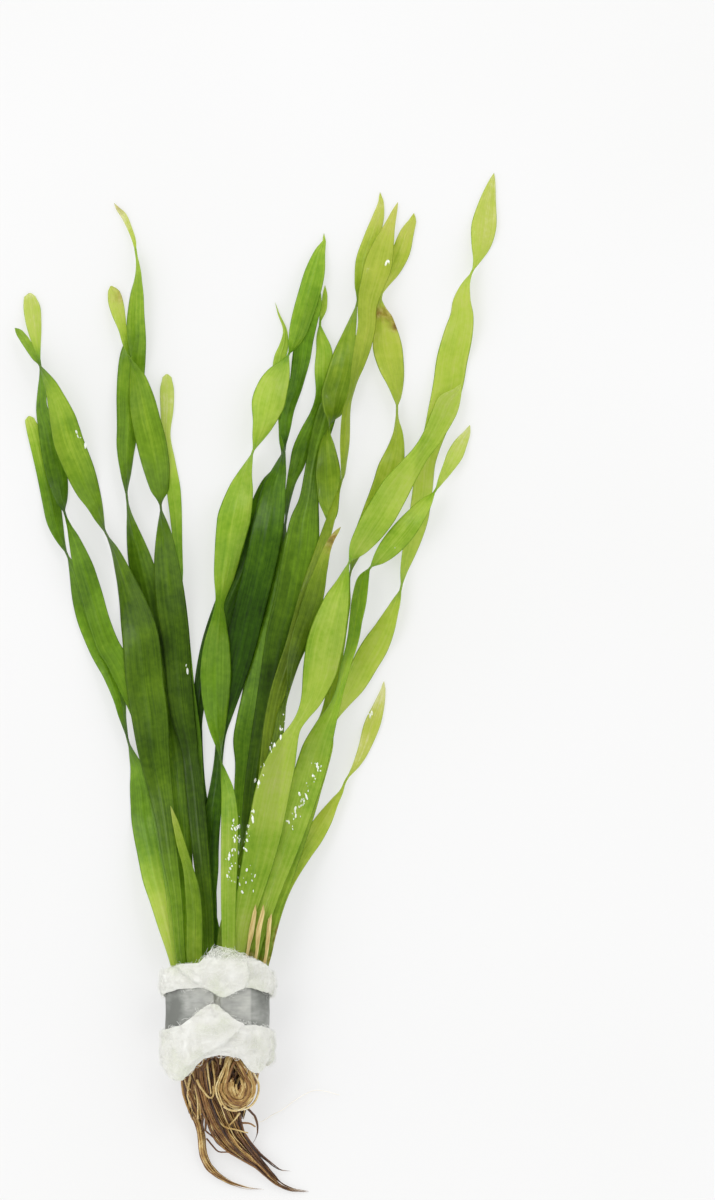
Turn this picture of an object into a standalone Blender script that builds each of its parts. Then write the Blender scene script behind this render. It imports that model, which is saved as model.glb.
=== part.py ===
"""Vallisneria: a bunch of twisted ribbon leaves in a wrap of filter wool and lead strip, with its roots.

The bunch lies on a flat surface. Tables are in millimetres: x to the right, y along the leaves from the
middle of the wool's mouth, z up from the surface. A leaf is a list of places from its base to its tip, each
with the width that is seen from above. The leaves are laid one on another in the order of the table, so the
heights follow from what lies under each one. The finished bunch is moved so that the middle of its box
stands on the origin, and is made in metres.
"""

import math

import bmesh
import bpy
import numpy as np

MM = 0.001
GAP = 0.3  # clearance between pieces that touch
EDGE = -1  # in place of a width: here the blade has turned on edge

# Leaf blades
BLADE_THICK = 0.45
BASE_THICK = 1.0  # the fleshy lower end of a leaf, where it leaves the crown
BASE_RUN = 55.0  # length over which a leaf thins from its base to its blade
LEAN = 0.45  # share of the missing width that a half-turned blade keeps
EDGE_SHARE = 0.42  # height of a blade on edge, as a share of its width beside the turn
RING_STEP = 6.8
RING_TURN = math.radians(50)  # most that the blade turns between two rings
SQUEEZE = 0.70  # the bases draw together under the strip to this share of their spread at the mouth
CROWN_Y = -11.5  # where the leaves end on their crowns

# How the leaves lie on each other
LAID_GAP = 0.38  # clearance kept over the leaves below
CELL = 0.4  # grid on which the heights of the pile are kept
BASE_SAG = 0.004  # how tightly a leaf bends down past what carries it, in 1/mm: stiff at its base
BLADE_SAG = 0.014  # and limp further out
SAG_BLUR = 3.0

# Wool wrap: an oval sleeve, with two swollen collars and a waist between them for the strip
AXIS_Z = 9.6
BORE_HIGH = 6.6  # half the height of the opening
BORE_WIDE = [(-31, 10.8), (-24, 10.5), (-12, 10.9), (-7.5, 11.95), (-4, 13.0), (4, 14.0)]  # y, half width
WAIST_WIDE, WAIST_HIGH = 12.0, 7.3
COLLAR_WIDE, COLLAR_HIGH = 14.5, 9.8
COLLAR_LOW = 10.2  # the underside is pressed flat on the surface, so it would reach lower than this allows
WRAP_SIDES = 40
MOUTH_RIM = [
    (-14.5, -2.4), (-12.8, -1.3), (-9, -0.5), (-4.4, -0.2), (-3, 2.3), (0.4, 3.8), (3, 3.5), (7, 1.9),
    (10.3, 0.6),
    (12.6, -0.7), (14.5, -3.6),
]
ROOT_RIM = [
    (-14.5, -27), (-12.8, -29.8), (-11, -30.8), (-8.5, -29.6), (-5.5, -26.6), (-3, -24.9), (0, -24.2),
    (4, -24.2),
    (7, -25.4), (9.3, -28), (10.4, -29.2), (12.5, -27.5), (14.5, -24),
]
HIDDEN_RIM = (-2.6, -27.0)  # the two rims on the underside
UPPER_FLAP = [  # x, reach over the strip
    (-14.5, 0.5), (-4.5, 0.5), (-1.5, 1.6), (1.5, 3.1), (3.5, 1.9), (5.5, 0.5), (14.5, 0.5),
]
LOWER_FLAP = [
    (-14.5, 0.3), (-10.6, 0.3), (-7.4, 1.8), (-4.1, 4.1), (-0.8, 5.8), (1.6, 4), (3.9, 1.9),
    (6.8, 0.4), (10.3, 0.6),
    (14.5, 0.3),
]
FLAP_THICK = 0.8

# Lead strip
STRIP_WIDTH = 9.6
STRIP_THICK = 0.7
STRIP_Y = -13.4
STRIP_TILT = 2.2  # the strip is wound askew, so its middle lies this much nearer the leaves on top
STRIP_PARTING = math.radians(7)  # its two ends meet under the flaps

# Crowns, from which the leaves and roots grow: middle x, half width, half height
CROWNS = {"crown_left": (-5.7, 3.3, 3.9), "crown_middle": (0.7, 2.5, 5.0), "crown_right": (6.4, 2.7, 3.7)}
CROWN_LENGTH = 6.6
CROWN_SIDES = 12

LEAVES = {
    "leaf_middle_left_dark": [
        (-1.5, 2, 2.75), (-1.75, 14.5, 3), (-2.5, 27, 3), (-3.5, 37, 2.5), (-4.25, 44.5, 2),
        (-4.75, 52, 2), (-5, 59.5, 2.25), (-4.5, 65.75, 3.25), (-3, 73.25, 4.5), (-0.5, 80.75, 6),
        (3, 89.5, 6.75), (6.25, 97, 7), (8.5, 104.5, 7), (11, 112, 6.5), (13.5, 118.25, 5.5),
        (16, 125.75, EDGE), (16.25, 129.5, 2), (16.25, 134.5, 2.5), (15.5, 140.75, 3), (15, 145.75, 3),
        (15.5, 150, 3), (16.5, 153.25, 2.25), (16.75, 157, 1), (15.25, 160.75, 0.5), (14.25, 164, 0),
    ],
    "leaf_middle_far": [
        (10.75, 1.5, 2.25), (12.75, 12, 3), (16.5, 24.5, 3.5), (20.5, 39.5, 4.5), (24, 52, 5),
        (27.25, 60.75, 3.25), (28.5, 67, 2.75), (30, 78.25, 3.5), (31.75, 89, 2.75), (33, 96, EDGE),
        (34.5, 101.5, 3), (37.75, 109, 5), (40.5, 115, 6), (42, 118.5, 6.5), (43.25, 122.5, 6.5),
        (44.5, 127.5, 4.25), (45, 131.5, 2.25), (44.75, 134.5, 0.75), (44.75, 137.5, EDGE),
        (44.75, 140, 2), (44.25, 144, 4.5), (43.25, 148.25, 6.5), (42.25, 153.25, 7.25),
        (41.5, 159.5, 4.5), (40.75, 162, 2.75), (40.75, 165.25, EDGE), (41.75, 168.25, 2),
        (43.75, 172, 3.75), (45.75, 176.5, 4.5), (47.25, 181.25, 3.5), (48.75, 184.5, 1.75),
        (49, 186.25, 0),
    ],
    "leaf_right_short": [
        (12.5, 0.75, 1.75), (13.5, 5.75, 2), (15.25, 12, 2), (17, 17, 2.25), (19, 21.5, 3),
        (21.5, 26.5, 4.25), (24, 30.5, 4.75), (26.75, 35, 4), (29, 38.75, 2.25), (30.75, 41.5, 1),
        (32, 44.5, EDGE), (34.5, 48.25, 1.75), (36.5, 52.5, 3), (38.5, 58.25, 4), (40.25, 63.25, 2.75),
        (41.25, 67, 1.25), (41.5, 69.25, 0),
    ],
    "leaf_middle_deep": [
        (1.75, 1.5, 2.5), (3.25, 13.25, 3), (5.5, 28.25, 4), (7, 42, 6), (8, 48.25, 7.5), (8.25, 54, 9),
        (10, 64.5, 8.5), (12.25, 79.5, 8), (14, 92, 7), (15.5, 102, 5), (17, 109.5, EDGE),
        (17.5, 114.5, 1.5), (18.5, 119.5, 2.5), (19.75, 123.25, 3.75), (20.75, 127, 4.25),
        (22.75, 131.5, 4.25), (24.75, 135.75, 3.75), (26.25, 140.75, 3.75), (26.5, 147, 4.75),
        (26.5, 152, 4), (25.75, 155.75, 2.25), (25.5, 158.75, EDGE), (26.5, 162.5, 1.5),
        (26.75, 165.75, 1.25), (26.75, 168.25, 0),
    ],
    "leaf_middle_dark": [
        (-0.5, 2, 3), (-2.5, 17, 3), (-2.75, 27, 3.5), (-2, 35.75, 3), (-1, 43.75, 1.75),
        (-0.25, 49.5, 1.5), (0.75, 55.75, 2.5), (2.5, 64.5, 5), (5, 74.5, 7), (7.25, 84.5, 8),
        (9.75, 94.5, 8), (11.5, 102, 8), (13, 110.75, 7.5), (14.25, 118.25, 5.5), (15.5, 122.5, 3.25),
        (16.75, 127.5, EDGE), (16.75, 132, 2.75), (17.5, 137, 3.25), (19.5, 143.25, 3.5),
        (20.75, 149.5, 4.5), (21.5, 154.5, 4.75), (22.75, 159.5, 4.5), (24, 163.75, 4),
        (24.75, 166.5, 2), (25, 168, 0),
    ],
    "leaf_left_hidden": [
        (-3, 2, 2), (-4, 19.5, 2), (-4.75, 34.5, 2.5), (-5, 44.5, 2.75), (-5.5, 54.5, 2.75),
        (-7, 67, 2.5), (-8, 77, 2.5), (-8.5, 84.5, 2), (-9, 92, EDGE), (-9.5, 97, 1.5),
        (-10, 103.25, 2.25), (-10.5, 110.75, 3), (-11.25, 118.25, 3.5), (-12.25, 124.5, 3),
        (-13, 130.75, 2.25), (-12.75, 137, 3.25), (-12.75, 142, 3.5), (-12.75, 144.5, 2.5),
        (-12.75, 146, 0),
    ],
    "leaf_left_tall": [
        (-7.5, 1.5, 3), (-7.75, 14.5, 3.25), (-8.25, 27, 3.75), (-9.5, 42, 5), (-11.25, 57, 6.5),
        (-13.25, 67, 7.5), (-15.25, 77, 7.5), (-17.25, 89.5, 7.5), (-19.5, 99.5, 6),
        (-21.25, 107, 3.25), (-22.75, 115.25, EDGE), (-23, 120.75, 2.5), (-23, 127.25, 4.5),
        (-22.5, 132.75, 5.5), (-22.25, 139.25, 6.25), (-21.75, 145.75, 6.75), (-21.25, 150.5, 6.5),
        (-20.5, 155, 5.25), (-20.5, 160.25, 4.5), (-20.25, 165.5, 3.5), (-20, 169.5, 2),
        (-20, 172.75, 1), (-20.5, 176.5, EDGE), (-21, 179.5, 1), (-22, 182.25, 1.25),
        (-23.5, 185.5, 1.5), (-25, 187.25, 1), (-26, 188.75, 0),
    ],
    "leaf_left_tan_tip": [
        (-2.25, 2, 3), (-2.75, 12, 3.5), (-3.75, 22, 4), (-4.75, 32, 4.5), (-5.75, 42, 4.5),
        (-6.75, 49.5, 4), (-7.25, 53.25, 4.5), (-8.75, 60.75, 6), (-9.5, 67, 6.5), (-10, 73.25, 6.5),
        (-10.5, 79.5, 7), (-11.5, 87, 7.5), (-13, 100.75, 5.75), (-13.5, 107, 3.5),
        (-14.25, 112.75, EDGE), (-14.5, 117, 4.5), (-15.25, 122, 6.5), (-16.75, 129.5, 7.5),
        (-18, 134.5, 7.25), (-19, 139.5, 6.5), (-20, 144.5, 4.5), (-21, 147.5, 2.25),
        (-22, 150.25, EDGE), (-23, 153.25, 1.25), (-23.75, 157, 2), (-24.75, 160.75, 3.25),
        (-25.5, 163.75, 3.75), (-26, 166, 3.25), (-26.5, 167.25, 2), (-26.75, 168, 0),
    ],
    "leaf_left_outer": [
        (-11, 2, 3.5), (-12.5, 8.25, 4.75), (-14, 14.5, 5.75), (-15.5, 19.5, 6.25), (-17, 27, 6.5),
        (-18.5, 34.5, 6.25), (-19.25, 42, 5.5), (-20.25, 47.5, 3.5), (-21.25, 50.5, 2),
        (-22.5, 54.5, EDGE), (-23.75, 60, 1.75), (-24.5, 64.5, 3), (-26.25, 70.75, 4.75), (-29, 77, 6),
        (-32, 84.5, 6.25), (-34.25, 92, 5), (-36, 97, 2.5), (-37.75, 101, EDGE), (-39.25, 104.25, 2),
        (-40.75, 109, 4), (-41.75, 114.5, 4.5), (-43.25, 120.75, 4), (-44.5, 125.75, 3.75),
        (-46, 131.5, 3.5), (-47, 134.25, 2.5), (-47.25, 135.5, 0),
    ],
    "leaf_left_round_tip": [
        (-10, 2, 2.5), (-11.25, 17, 3.5), (-14.25, 34.5, 4), (-17.5, 48.25, 3.25), (-20, 59.5, 2.5),
        (-22.25, 67, 4.5), (-25.25, 74.5, 5.75), (-27.5, 78.25, 5.75), (-29.75, 84.5, 5.5),
        (-31.5, 90.75, 5.5), (-33.75, 98.25, 5), (-35.75, 104.5, 3), (-38.25, 111.25, EDGE),
        (-39, 114.5, 3), (-40, 119.5, 5), (-41.25, 125.75, 5.5), (-42.75, 133.25, 4.5), (-44, 137.5, 3),
        (-44, 142, 2.25), (-44.5, 149, EDGE), (-45.25, 153.25, 2), (-46, 158.25, 3.75),
        (-46.5, 162.5, 4.25), (-47, 165, 3), (-47, 166.25, 0),
    ],
    "leaf_left_broad": [
        (-9.25, 2, 2.5), (-10.25, 14.5, 3), (-11.75, 24.5, 4), (-13, 34.5, 5), (-14.5, 43.25, 6.25),
        (-16, 52, 8), (-17, 60.75, 9.25), (-18, 67, 9.5), (-19.25, 79.5, 9.25), (-21.5, 89.5, 6.5),
        (-23.5, 95.75, 4.25), (-25.75, 102, 2), (-28, 106.25, EDGE), (-29.5, 109.75, 2.25),
        (-30.75, 113.25, 4), (-32.5, 117, 6), (-34.5, 122, 7.25), (-37, 128.25, 7.5),
        (-39, 135.75, 6.25), (-41.25, 142, 3.75), (-43.25, 146, 1.75), (-44.5, 148.25, EDGE),
        (-45.75, 150.25, 1.5), (-47.75, 153.75, 2.25), (-49.75, 156.5, 1.75), (-50.75, 157.5, 0),
    ],
    "leaf_left_short": [
        (-5.75, 0.25, 4), (-5.75, 10.75, 4), (-6.25, 17, 3.75), (-7.5, 23.25, 2.5), (-9, 28.25, 2.25),
        (-10.5, 34, 1.5), (-11.75, 38.25, 0),
    ],
    "leaf_middle_blunt": [
        (5.75, 1.75, 2.5), (6.5, 15.75, 3), (7.75, 29.5, 4), (8.75, 39.5, 5), (10.5, 52, 5.5),
        (12.5, 62, 6.5), (14.5, 72, 7.5), (16.5, 82, 8.5), (18, 87, 9), (19.75, 95.75, 9),
        (21, 103.25, 8.75), (21.75, 109.5, 7.25), (22.75, 114.5, 5), (23.5, 120.75, 4),
        (25, 128.25, 4.5), (26.75, 134.5, 5), (28.25, 139.5, 4.25), (29.5, 143.25, 2.25), (30, 145, 0),
    ],
    "leaf_middle_tall": [
        (9, 1.5, 2.5), (10, 14.5, 3), (11.5, 27, 4), (13, 39.5, 4.5), (14.25, 52, 4),
        (15.5, 63.25, 3.25), (17.75, 71.5, 3.5), (20, 78.25, 4), (23.25, 89.5, 4.5), (26.25, 99.5, 3),
        (28, 107.25, EDGE), (28.25, 110.75, 3.25), (27.75, 114.5, 5.25), (27.5, 122, 6.25),
        (27.25, 128.25, 3.75), (27.75, 132.75, EDGE), (28.75, 136.5, 5), (29.5, 140.75, 7.5),
        (30.75, 145, 7.5), (32.25, 152, 6), (32.75, 155.75, 3.5), (33.75, 159.5, 2),
        (34.75, 163.5, EDGE), (35.75, 168.25, 3.25), (36.5, 174, 4.25), (38.25, 179.5, 4), (40, 185, 3),
        (40.75, 188.75, 1.5), (40.5, 191.5, 0),
    ],
    "leaf_middle_slim": [
        (7.5, 1.75, 2.25), (8.75, 18.25, 3), (10.75, 34, 4), (12.5, 47, 4.5), (13.5, 57, 4.5),
        (15.5, 67, 4.5), (18.75, 77, 4.5), (22.5, 89.5, 5), (25.75, 101.5, 3.25), (28.75, 111.5, 2),
        (30.75, 118.75, EDGE), (31.25, 120.75, 1), (31.5, 124.5, 1.75), (31.75, 129.5, 2.5),
        (32, 135.75, 2.25), (32.75, 139.5, 1.5), (33.75, 143.25, 1.75), (35, 148.25, 3.25),
        (36.25, 153.25, 4.25), (37.25, 158.25, 4.5), (37.25, 162, 4.75), (37.75, 165.25, 5.5),
        (38.75, 168.75, 6.25), (40, 173, 7), (41.25, 177.75, 5.5), (42.75, 182.5, 3),
        (44, 186.25, 1.5), (45, 189, 0),
    ],
    "leaf_middle_brown": [
        (0.75, 1.5, 2.25), (3.75, 15.75, 2.75), (9, 32.5, 3.5), (12.75, 46.5, 3.25), (14.75, 54.5, 2.75),
        (16, 61.5, 2), (17.25, 66.25, EDGE), (18, 69.5, 1.5), (19, 74.5, 3.25), (21, 80.75, 4.75),
        (23.75, 89.5, 5), (25.75, 97, 3.25), (27.25, 102, 2), (28.5, 104.75, 1.5), (29.75, 106.5, 1),
        (30.75, 107.75, 0),
    ],
    "leaf_right_top": [
        (11.5, 2.5, 3.25), (13.5, 12, 4.5), (16, 19.5, 5), (18.75, 28.25, 5.5), (21.75, 38.25, 6),
        (24.25, 47, 6), (26.75, 53.25, 4.25), (29.25, 59, EDGE), (31, 63.25, 3), (34, 68.25, 5.5),
        (37, 74, 6.5), (39.5, 78.25, 6.5), (41.75, 82.5, 5), (43.5, 86.5, 3.25), (44.75, 89.5, 2),
        (45.75, 92.5, EDGE), (46.5, 97, 2), (48.25, 103.25, 4), (50.25, 110.75, 5), (51.25, 118.25, 5),
        (51.75, 123.25, 5), (54, 130.75, 5.5), (56, 137.5, 6.75), (57.5, 143.25, 7.5),
        (58.5, 149.5, 7.75), (60, 155.75, 7.25), (61, 160.75, 5.75), (61, 164.5, 4.25), (62, 168.5, 2),
        (63.5, 171.5, EDGE), (64.75, 174.5, 2.25), (65.75, 178.25, 5), (66.5, 183.25, 6.25),
        (67.5, 189.5, 4), (68.5, 194, 1.75), (69, 196.25, 0),
    ],
    "leaf_right_middle": [
        (9.5, 3.25, 3), (11.5, 10.75, 4), (14.25, 19.5, 5), (17.25, 28.25, 6.25), (20, 37, 7.25),
        (22.75, 45.75, 7.75), (25, 53.25, 7), (27, 58.25, 5), (29, 62.5, 3), (30.5, 67, 2),
        (32, 73.25, 2.5), (33.75, 79.5, 3), (34.5, 84.5, 3.25), (35.25, 89.5, 3.75), (36.25, 94.5, 3),
        (38, 97.5, EDGE), (40.25, 99.75, 3.25), (43, 102.75, 5.25), (46.25, 106.5, 5.75),
        (49.25, 110.25, 4.75), (52, 113.75, 3), (54.25, 116.75, EDGE), (55.75, 119.5, 1.75),
        (57.5, 122.5, 3), (59.25, 125.75, 4), (60.75, 128.75, 3.25), (62.25, 131.25, 1.75),
        (63, 133.25, 0),
    ],
    "leaf_right_front": [
        (5, 2, 4), (6, 8.25, 5), (7.5, 14.5, 6.25), (9.75, 23.25, 7.75), (11.75, 32, 8.75),
        (13.5, 40.75, 8.75), (15.5, 48.25, 7.75), (17.25, 53.25, 5.5), (19.25, 57.5, 3),
        (21.25, 60.75, 3.25), (23.25, 64.5, 5.25), (25.25, 70.75, 8.25), (26.75, 78.25, 9.25),
        (28, 83.25, 8.5), (29.75, 89.5, 6.25), (31.25, 94, 3.25), (32.75, 98.75, EDGE),
        (34.75, 102, 4.25), (37.25, 105.75, 6.5), (41, 111.5, 7.75), (44.5, 117.5, 7.25),
        (48, 122.5, 5.5), (50.75, 126.25, 4.5), (53.5, 130.25, 5), (56.25, 135.75, 6),
        (57.75, 139, 5.75), (59.75, 141.5, 2.5), (60.75, 143.5, 0),
    ],
    "leaf_middle_front": [
        (2.75, 2, 3.25), (2.75, 14.5, 3.75), (3, 27, 4.25), (3, 35.75, 4.25), (2.5, 42, 3.25),
        (1.5, 46.5, 1.5), (0.75, 49.5, EDGE), (0.25, 53.25, 1.75), (-0.25, 58.25, 4.5),
        (-0.5, 64.5, 6.75), (-0.5, 72, 7.75), (-0.25, 78.25, 6.5), (0.25, 84.5, 3.75),
        (0.5, 88.75, 2.25), (1.5, 95, 5), (2.75, 102.5, 7), (4.25, 110.75, 8.25), (5.75, 117, 6.25),
        (7, 121.5, 3.25), (8.75, 126.5, EDGE), (10, 130, 3), (11.25, 133.25, 5.25), (12.5, 138.25, 8.25),
        (13.75, 142.5, 7.75), (15.25, 145.75, 6), (16.5, 148.25, 3.25), (17.75, 151, EDGE),
        (18.75, 153.25, 2.5), (20, 156.5, 4.5), (21.25, 160.75, 5.25), (22.75, 165.75, 5.5),
        (24.25, 171.5, 5), (25.5, 176.5, 2.75), (26.5, 179, 1), (26.5, 181.25, 0),
    ],
    "dry_sheath_left": [
        (7.5, 1.75, 0.75), (8.5, 7, 1.25), (9.25, 11.5, 1), (9.5, 13.75, 0),
    ],
    "dry_sheath_middle": [
        (9.75, 1.5, 0.75), (10.25, 7, 1.25), (11.25, 11.5, 1), (11.5, 13.75, 0),
    ],
    "dry_sheath_right": [
        (12, 0.5, 0.75), (12.5, 4.5, 1), (13, 9.5, 1), (13.5, 11.5, 0),
    ],
}

# Root strands: x, y, height of the middle, thickness seen from above. The strands taper to their tips.
STRANDS = {
    "roots_left": [
        (-5.6, -38.8, 3.4, 2.5), (-4.7, -41.5, 3.0, 2.2), (-4.1, -44.5, 2.6, 2.1),
        (-3.9, -48, 2.2, 2.1), (-3.2, -50.4, 1.9, 2.2), (-1.9, -52.6, 1.5, 2.1), (1, -55, 1.2, 1.7),
        (4.4, -56.6, 0.9, 1.2), (7.9, -57.5, 0.7, 0.9), (11.7, -57.9, 0.5, 0.4),
    ],
    "roots_middle": [
        (1.0, -39.4, 3.8, 9.2), (1.4, -41.2, 3.6, 9.1), (2.5, -43.8, 3.4, 8.6),
        (4.7, -46.6, 2.9, 7.0), (7.9, -49.4, 2.4, 4.6), (10.3, -51.6, 2.0, 3.1),
        (12.9, -54.4, 1.5, 2.5), (15.4, -56.6, 1.1, 1.8), (18.4, -57.9, 0.7, 1.1),
        (22.6, -58.4, 0.5, 0.4),
    ],
    "root_side": [
        (11.2, -48.6, 2.3, 0.9), (12.6, -50.6, 1.9, 0.9), (14.1, -52.2, 1.5, 0.8),
        (15.8, -53.1, 1.1, 0.7), (19.2, -53.2, 0.6, 0.4),
    ],
    "root_hair": [
        (10.6, -40.8, 1.2, 0.5), (15.5, -38.2, 0.8, 0.5), (20.5, -34.6, 0.6, 0.5),
        (25, -33.1, 0.5, 0.5), (30.5, -34.2, 0.5, 0.4),
    ],
    "root_loop": [
        (8, -37.9, 4.4, 0.8), (9.3, -39.4, 3.8, 0.9), (9.9, -41.5, 3.2, 0.9), (9.8, -43.8, 2.6, 0.9),
        (9.3, -45.6, 2.0, 0.8),
    ],
}
FLATTENED = {"roots_middle": 0.66}  # height of a bundle that lies spread, as a share of its width
STRAND_SIDES = {"roots_left": 7, "roots_middle": 12, "root_side": 5, "root_hair": 4, "root_loop": 5}
ROOT_MASS = [  # y, middle x, half width, middle height, half height
    (-19.0, -0.3, 7.2, 9.4, 4.2), (-23, 0.2, 8.4, 9.0, 4.0), (-27.5, 0.4, 8.9, 7.7, 3.6),
    (-31, 0.3, 8.4, 6.6, 3.4), (-34, -0.1, 7.6, 5.6, 3.2), (-36.4, -0.3, 6.9, 4.8, 2.9),
    (-38, -0.5, 6.2, 4.3, 2.6),
]
COIL = {"middle": (5.0, -31.6, 11.5), "across": 3.5, "along": 4.8, "thick": 2.5, "tilt": 0.33}


def monotone(t, values, at):
    """Values at the places `at` of a curve through (t, values) that never overshoots them."""
    t, values, at = (np.asarray(a, float) for a in (t, values, at))
    step = np.diff(t)
    rise = np.diff(values) / step
    slope = np.zeros(len(t))
    for i in range(1, len(t) - 1):
        if rise[i - 1] * rise[i] > 0:
            a = 2 * step[i] + step[i - 1]
            b = step[i] + 2 * step[i - 1]
            slope[i] = (a + b) / (a / rise[i - 1] + b / rise[i])
    slope[0], slope[-1] = rise[0], rise[-1]
    i = np.clip(np.searchsorted(t, at, side="right") - 1, 0, len(step) - 1)
    f = np.clip((at - t[i]) / step[i], 0, 1)
    return (
        values[i] * (1 + 2 * f) * (1 - f) ** 2
        + step[i] * slope[i] * f * (1 - f) ** 2
        + values[i + 1] * f**2 * (3 - 2 * f)
        - step[i] * slope[i + 1] * f**2 * (1 - f)
    )


def table_at(table, at):
    return monotone(*zip(*sorted(table)), at)


def ring_faces(rings, sides, closed_round=True):
    """Quads between rings of `sides` points each; the last ring may join the first."""
    faces = []
    for r in range(rings if closed_round else rings - 1):
        for s in range(sides):
            a, b = r * sides + s, r * sides + (s + 1) % sides
            up = (r + 1) % rings * sides - r * sides
            faces.append((a, b, b + up, a + up))
    return faces


def lofted(rings, tip=None):
    """A closed body through rings of points, capped at its start and ending in a cap or a single point."""
    sides = len(rings[0])
    points = [tuple(p) for ring in rings for p in ring]
    faces = ring_faces(len(rings), sides, closed_round=False)
    faces.append(tuple(reversed(range(sides))))
    last = (len(rings) - 1) * sides
    if tip is None:
        faces.append(tuple(range(last, last + sides)))
    else:
        points.append(tuple(tip))
        faces += [(last + s, last + (s + 1) % sides, len(points) - 1) for s in range(sides)]
    return points, faces


def blade_turns(widths):
    """The real width of the blade at each place, and how far it has turned about its own length."""
    edges = [i for i, w in enumerate(widths) if w == EDGE]
    ends = [0, *edges, len(widths) - 1]
    widest = [max(w for w in widths[a : b + 1] if w != EDGE) for a, b in zip(ends, ends[1:])]
    blade, turn = [0.0] * len(widths), [0.0] * len(widths)
    for span, (a, b) in enumerate(zip(ends, ends[1:])):
        flat = next(i for i in range(a, b + 1) if widths[i] == widest[span])
        for i in range(a, b + 1):
            if widths[i] == EDGE:
                continue
            blade[i] = widths[i]
            after_edge = i < flat and a in edges
            before_edge = i > flat and b in edges
            if after_edge or before_edge:
                blade[i] += LEAN * (widest[span] - widths[i])
            side = -1 if after_edge else 1
            turn[i] = span * math.pi + side * math.acos(widths[i] / blade[i] if blade[i] else 1)
    for n, i in enumerate(edges):
        blade[i] = EDGE_SHARE * (widest[n] + widest[n + 1]) / 2
        turn[i] = (n + 0.5) * math.pi
    return blade, turn


def leaf_rings(places):
    """A leaf's rings from base to tip, without their heights: middle, half width and half thickness."""
    x, y, width = (list(column) for column in zip(*places))
    x.insert(0, SQUEEZE * x[0])
    y.insert(0, CROWN_Y)
    width.insert(0, width[0] * SQUEEZE)
    blade, turn = blade_turns(width)
    along = np.concatenate([[0], np.cumsum(np.hypot(np.diff(x), np.diff(y)))])
    at = [0.0]
    for i, run in enumerate(np.diff(along)):
        parts = max(1, math.ceil(run / RING_STEP), math.ceil(abs(turn[i + 1] - turn[i]) / RING_TURN))
        at += list(along[i] + run * np.arange(1, parts + 1) / parts)
    middle = np.column_stack([monotone(along, x, at), monotone(along, y, at)])
    ahead = np.gradient(middle, at, axis=0)
    ahead /= np.linalg.norm(ahead, axis=1)[:, None]
    across = np.column_stack([ahead[:, 1], -ahead[:, 0]])
    blade, turn = monotone(along, blade, at), monotone(along, turn, at)
    thick = BLADE_THICK + (BASE_THICK - BLADE_THICK) * np.clip(1 - np.array(at) / BASE_RUN, 0, 1) ** 1.5
    thick = np.minimum(thick, 0.45 * blade + 0.1)
    half = np.column_stack([across * np.cos(turn)[:, None], np.sin(turn)]) * blade[:, None] / 2
    rise = np.column_stack([-across * np.sin(turn)[:, None], np.cos(turn)]) * thick[:, None] / 2
    return np.array(at), middle, half, rise


def bed_height(x, y):
    """What carries the leaves before any is laid: the floor of the wool's opening, then the surface."""
    wide = table_at(BORE_WIDE, y)
    floor = AXIS_Z - BORE_HIGH * np.clip(1 - (x / wide) ** 2, 0, 1) ** 0.5
    return np.where(y < 1.5, floor, 0.0)


class Pile:
    """The heights of whatever lies on the surface so far, on a grid seen from above."""

    def __init__(self, low, high):
        self.low = np.array(low, float)
        x, y = np.meshgrid(*(np.arange(a, b, CELL) for a, b in zip(low, high)), indexing="ij")
        self.top = bed_height(x, y)

    def cells(self, points):
        return tuple(np.round((points[..., :2] - self.low) / CELL).astype(int).reshape(-1, 2).T)

    def under(self, points):
        """The highest thing within a cell of each point."""
        i, j = self.cells(points)
        around = [self.top[i + a, j + b] for a in (-1, 0, 1) for b in (-1, 0, 1)]
        return np.max(around, axis=0).reshape(points.shape[:-1])

    def raise_to(self, points):
        np.maximum.at(self.top, self.cells(points), points[..., 2].ravel())


def lay(pile, rings):
    """Heights that lay a leaf on the pile, bending no more sharply than it can, and the pile with it on."""
    at, middle, half, rise = rings
    fine = np.append(np.arange(at[0], at[-1], CELL * 0.8), at[-1])
    centre, wing, up = (
        np.column_stack([np.interp(fine, at, column) for column in rows.T]) for rows in (middle, half, rise)
    )
    centre = np.column_stack([centre, np.zeros(len(fine))])[:, None]
    across = np.linspace(-1, 1, 33)[None, :, None]
    faces = (wing[:, None] * across + side * up[:, None] * (1 - abs(across)) for side in (-1, 1))
    skin = centre + np.concatenate(list(faces), axis=1)
    need = (pile.under(skin) + LAID_GAP - skin[..., 2]).max(axis=1)

    beyond = np.arange(1, 5 * SAG_BLUR)
    wide = np.concatenate([fine[0] - beyond[::-1], fine, fine[-1] + beyond])
    sag = BASE_SAG + (BLADE_SAG - BASE_SAG) * np.clip(fine / BASE_RUN, 0, 1)
    tent = (need[None] - sag[None] * (wide[:, None] - fine[None]) ** 2).max(axis=1)
    blur = np.exp(-(((wide[None] - at[:, None]) / SAG_BLUR) ** 2) / 2) * np.gradient(wide)[None]
    height = (blur * tent[None]).sum(axis=1) / blur.sum(axis=1)
    while (need - np.interp(fine, at, height)).max() > 1e-6:
        short = need - np.interp(fine, at, height)
        for i in range(len(at) - 1):
            inside = (fine >= at[i]) & (fine <= at[i + 1])
            height[i : i + 2] += max(0.0, short[inside].max(initial=0.0))
    skin[..., 2] += np.interp(fine, at, height)[:, None]
    pile.raise_to(skin)
    return height


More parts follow.
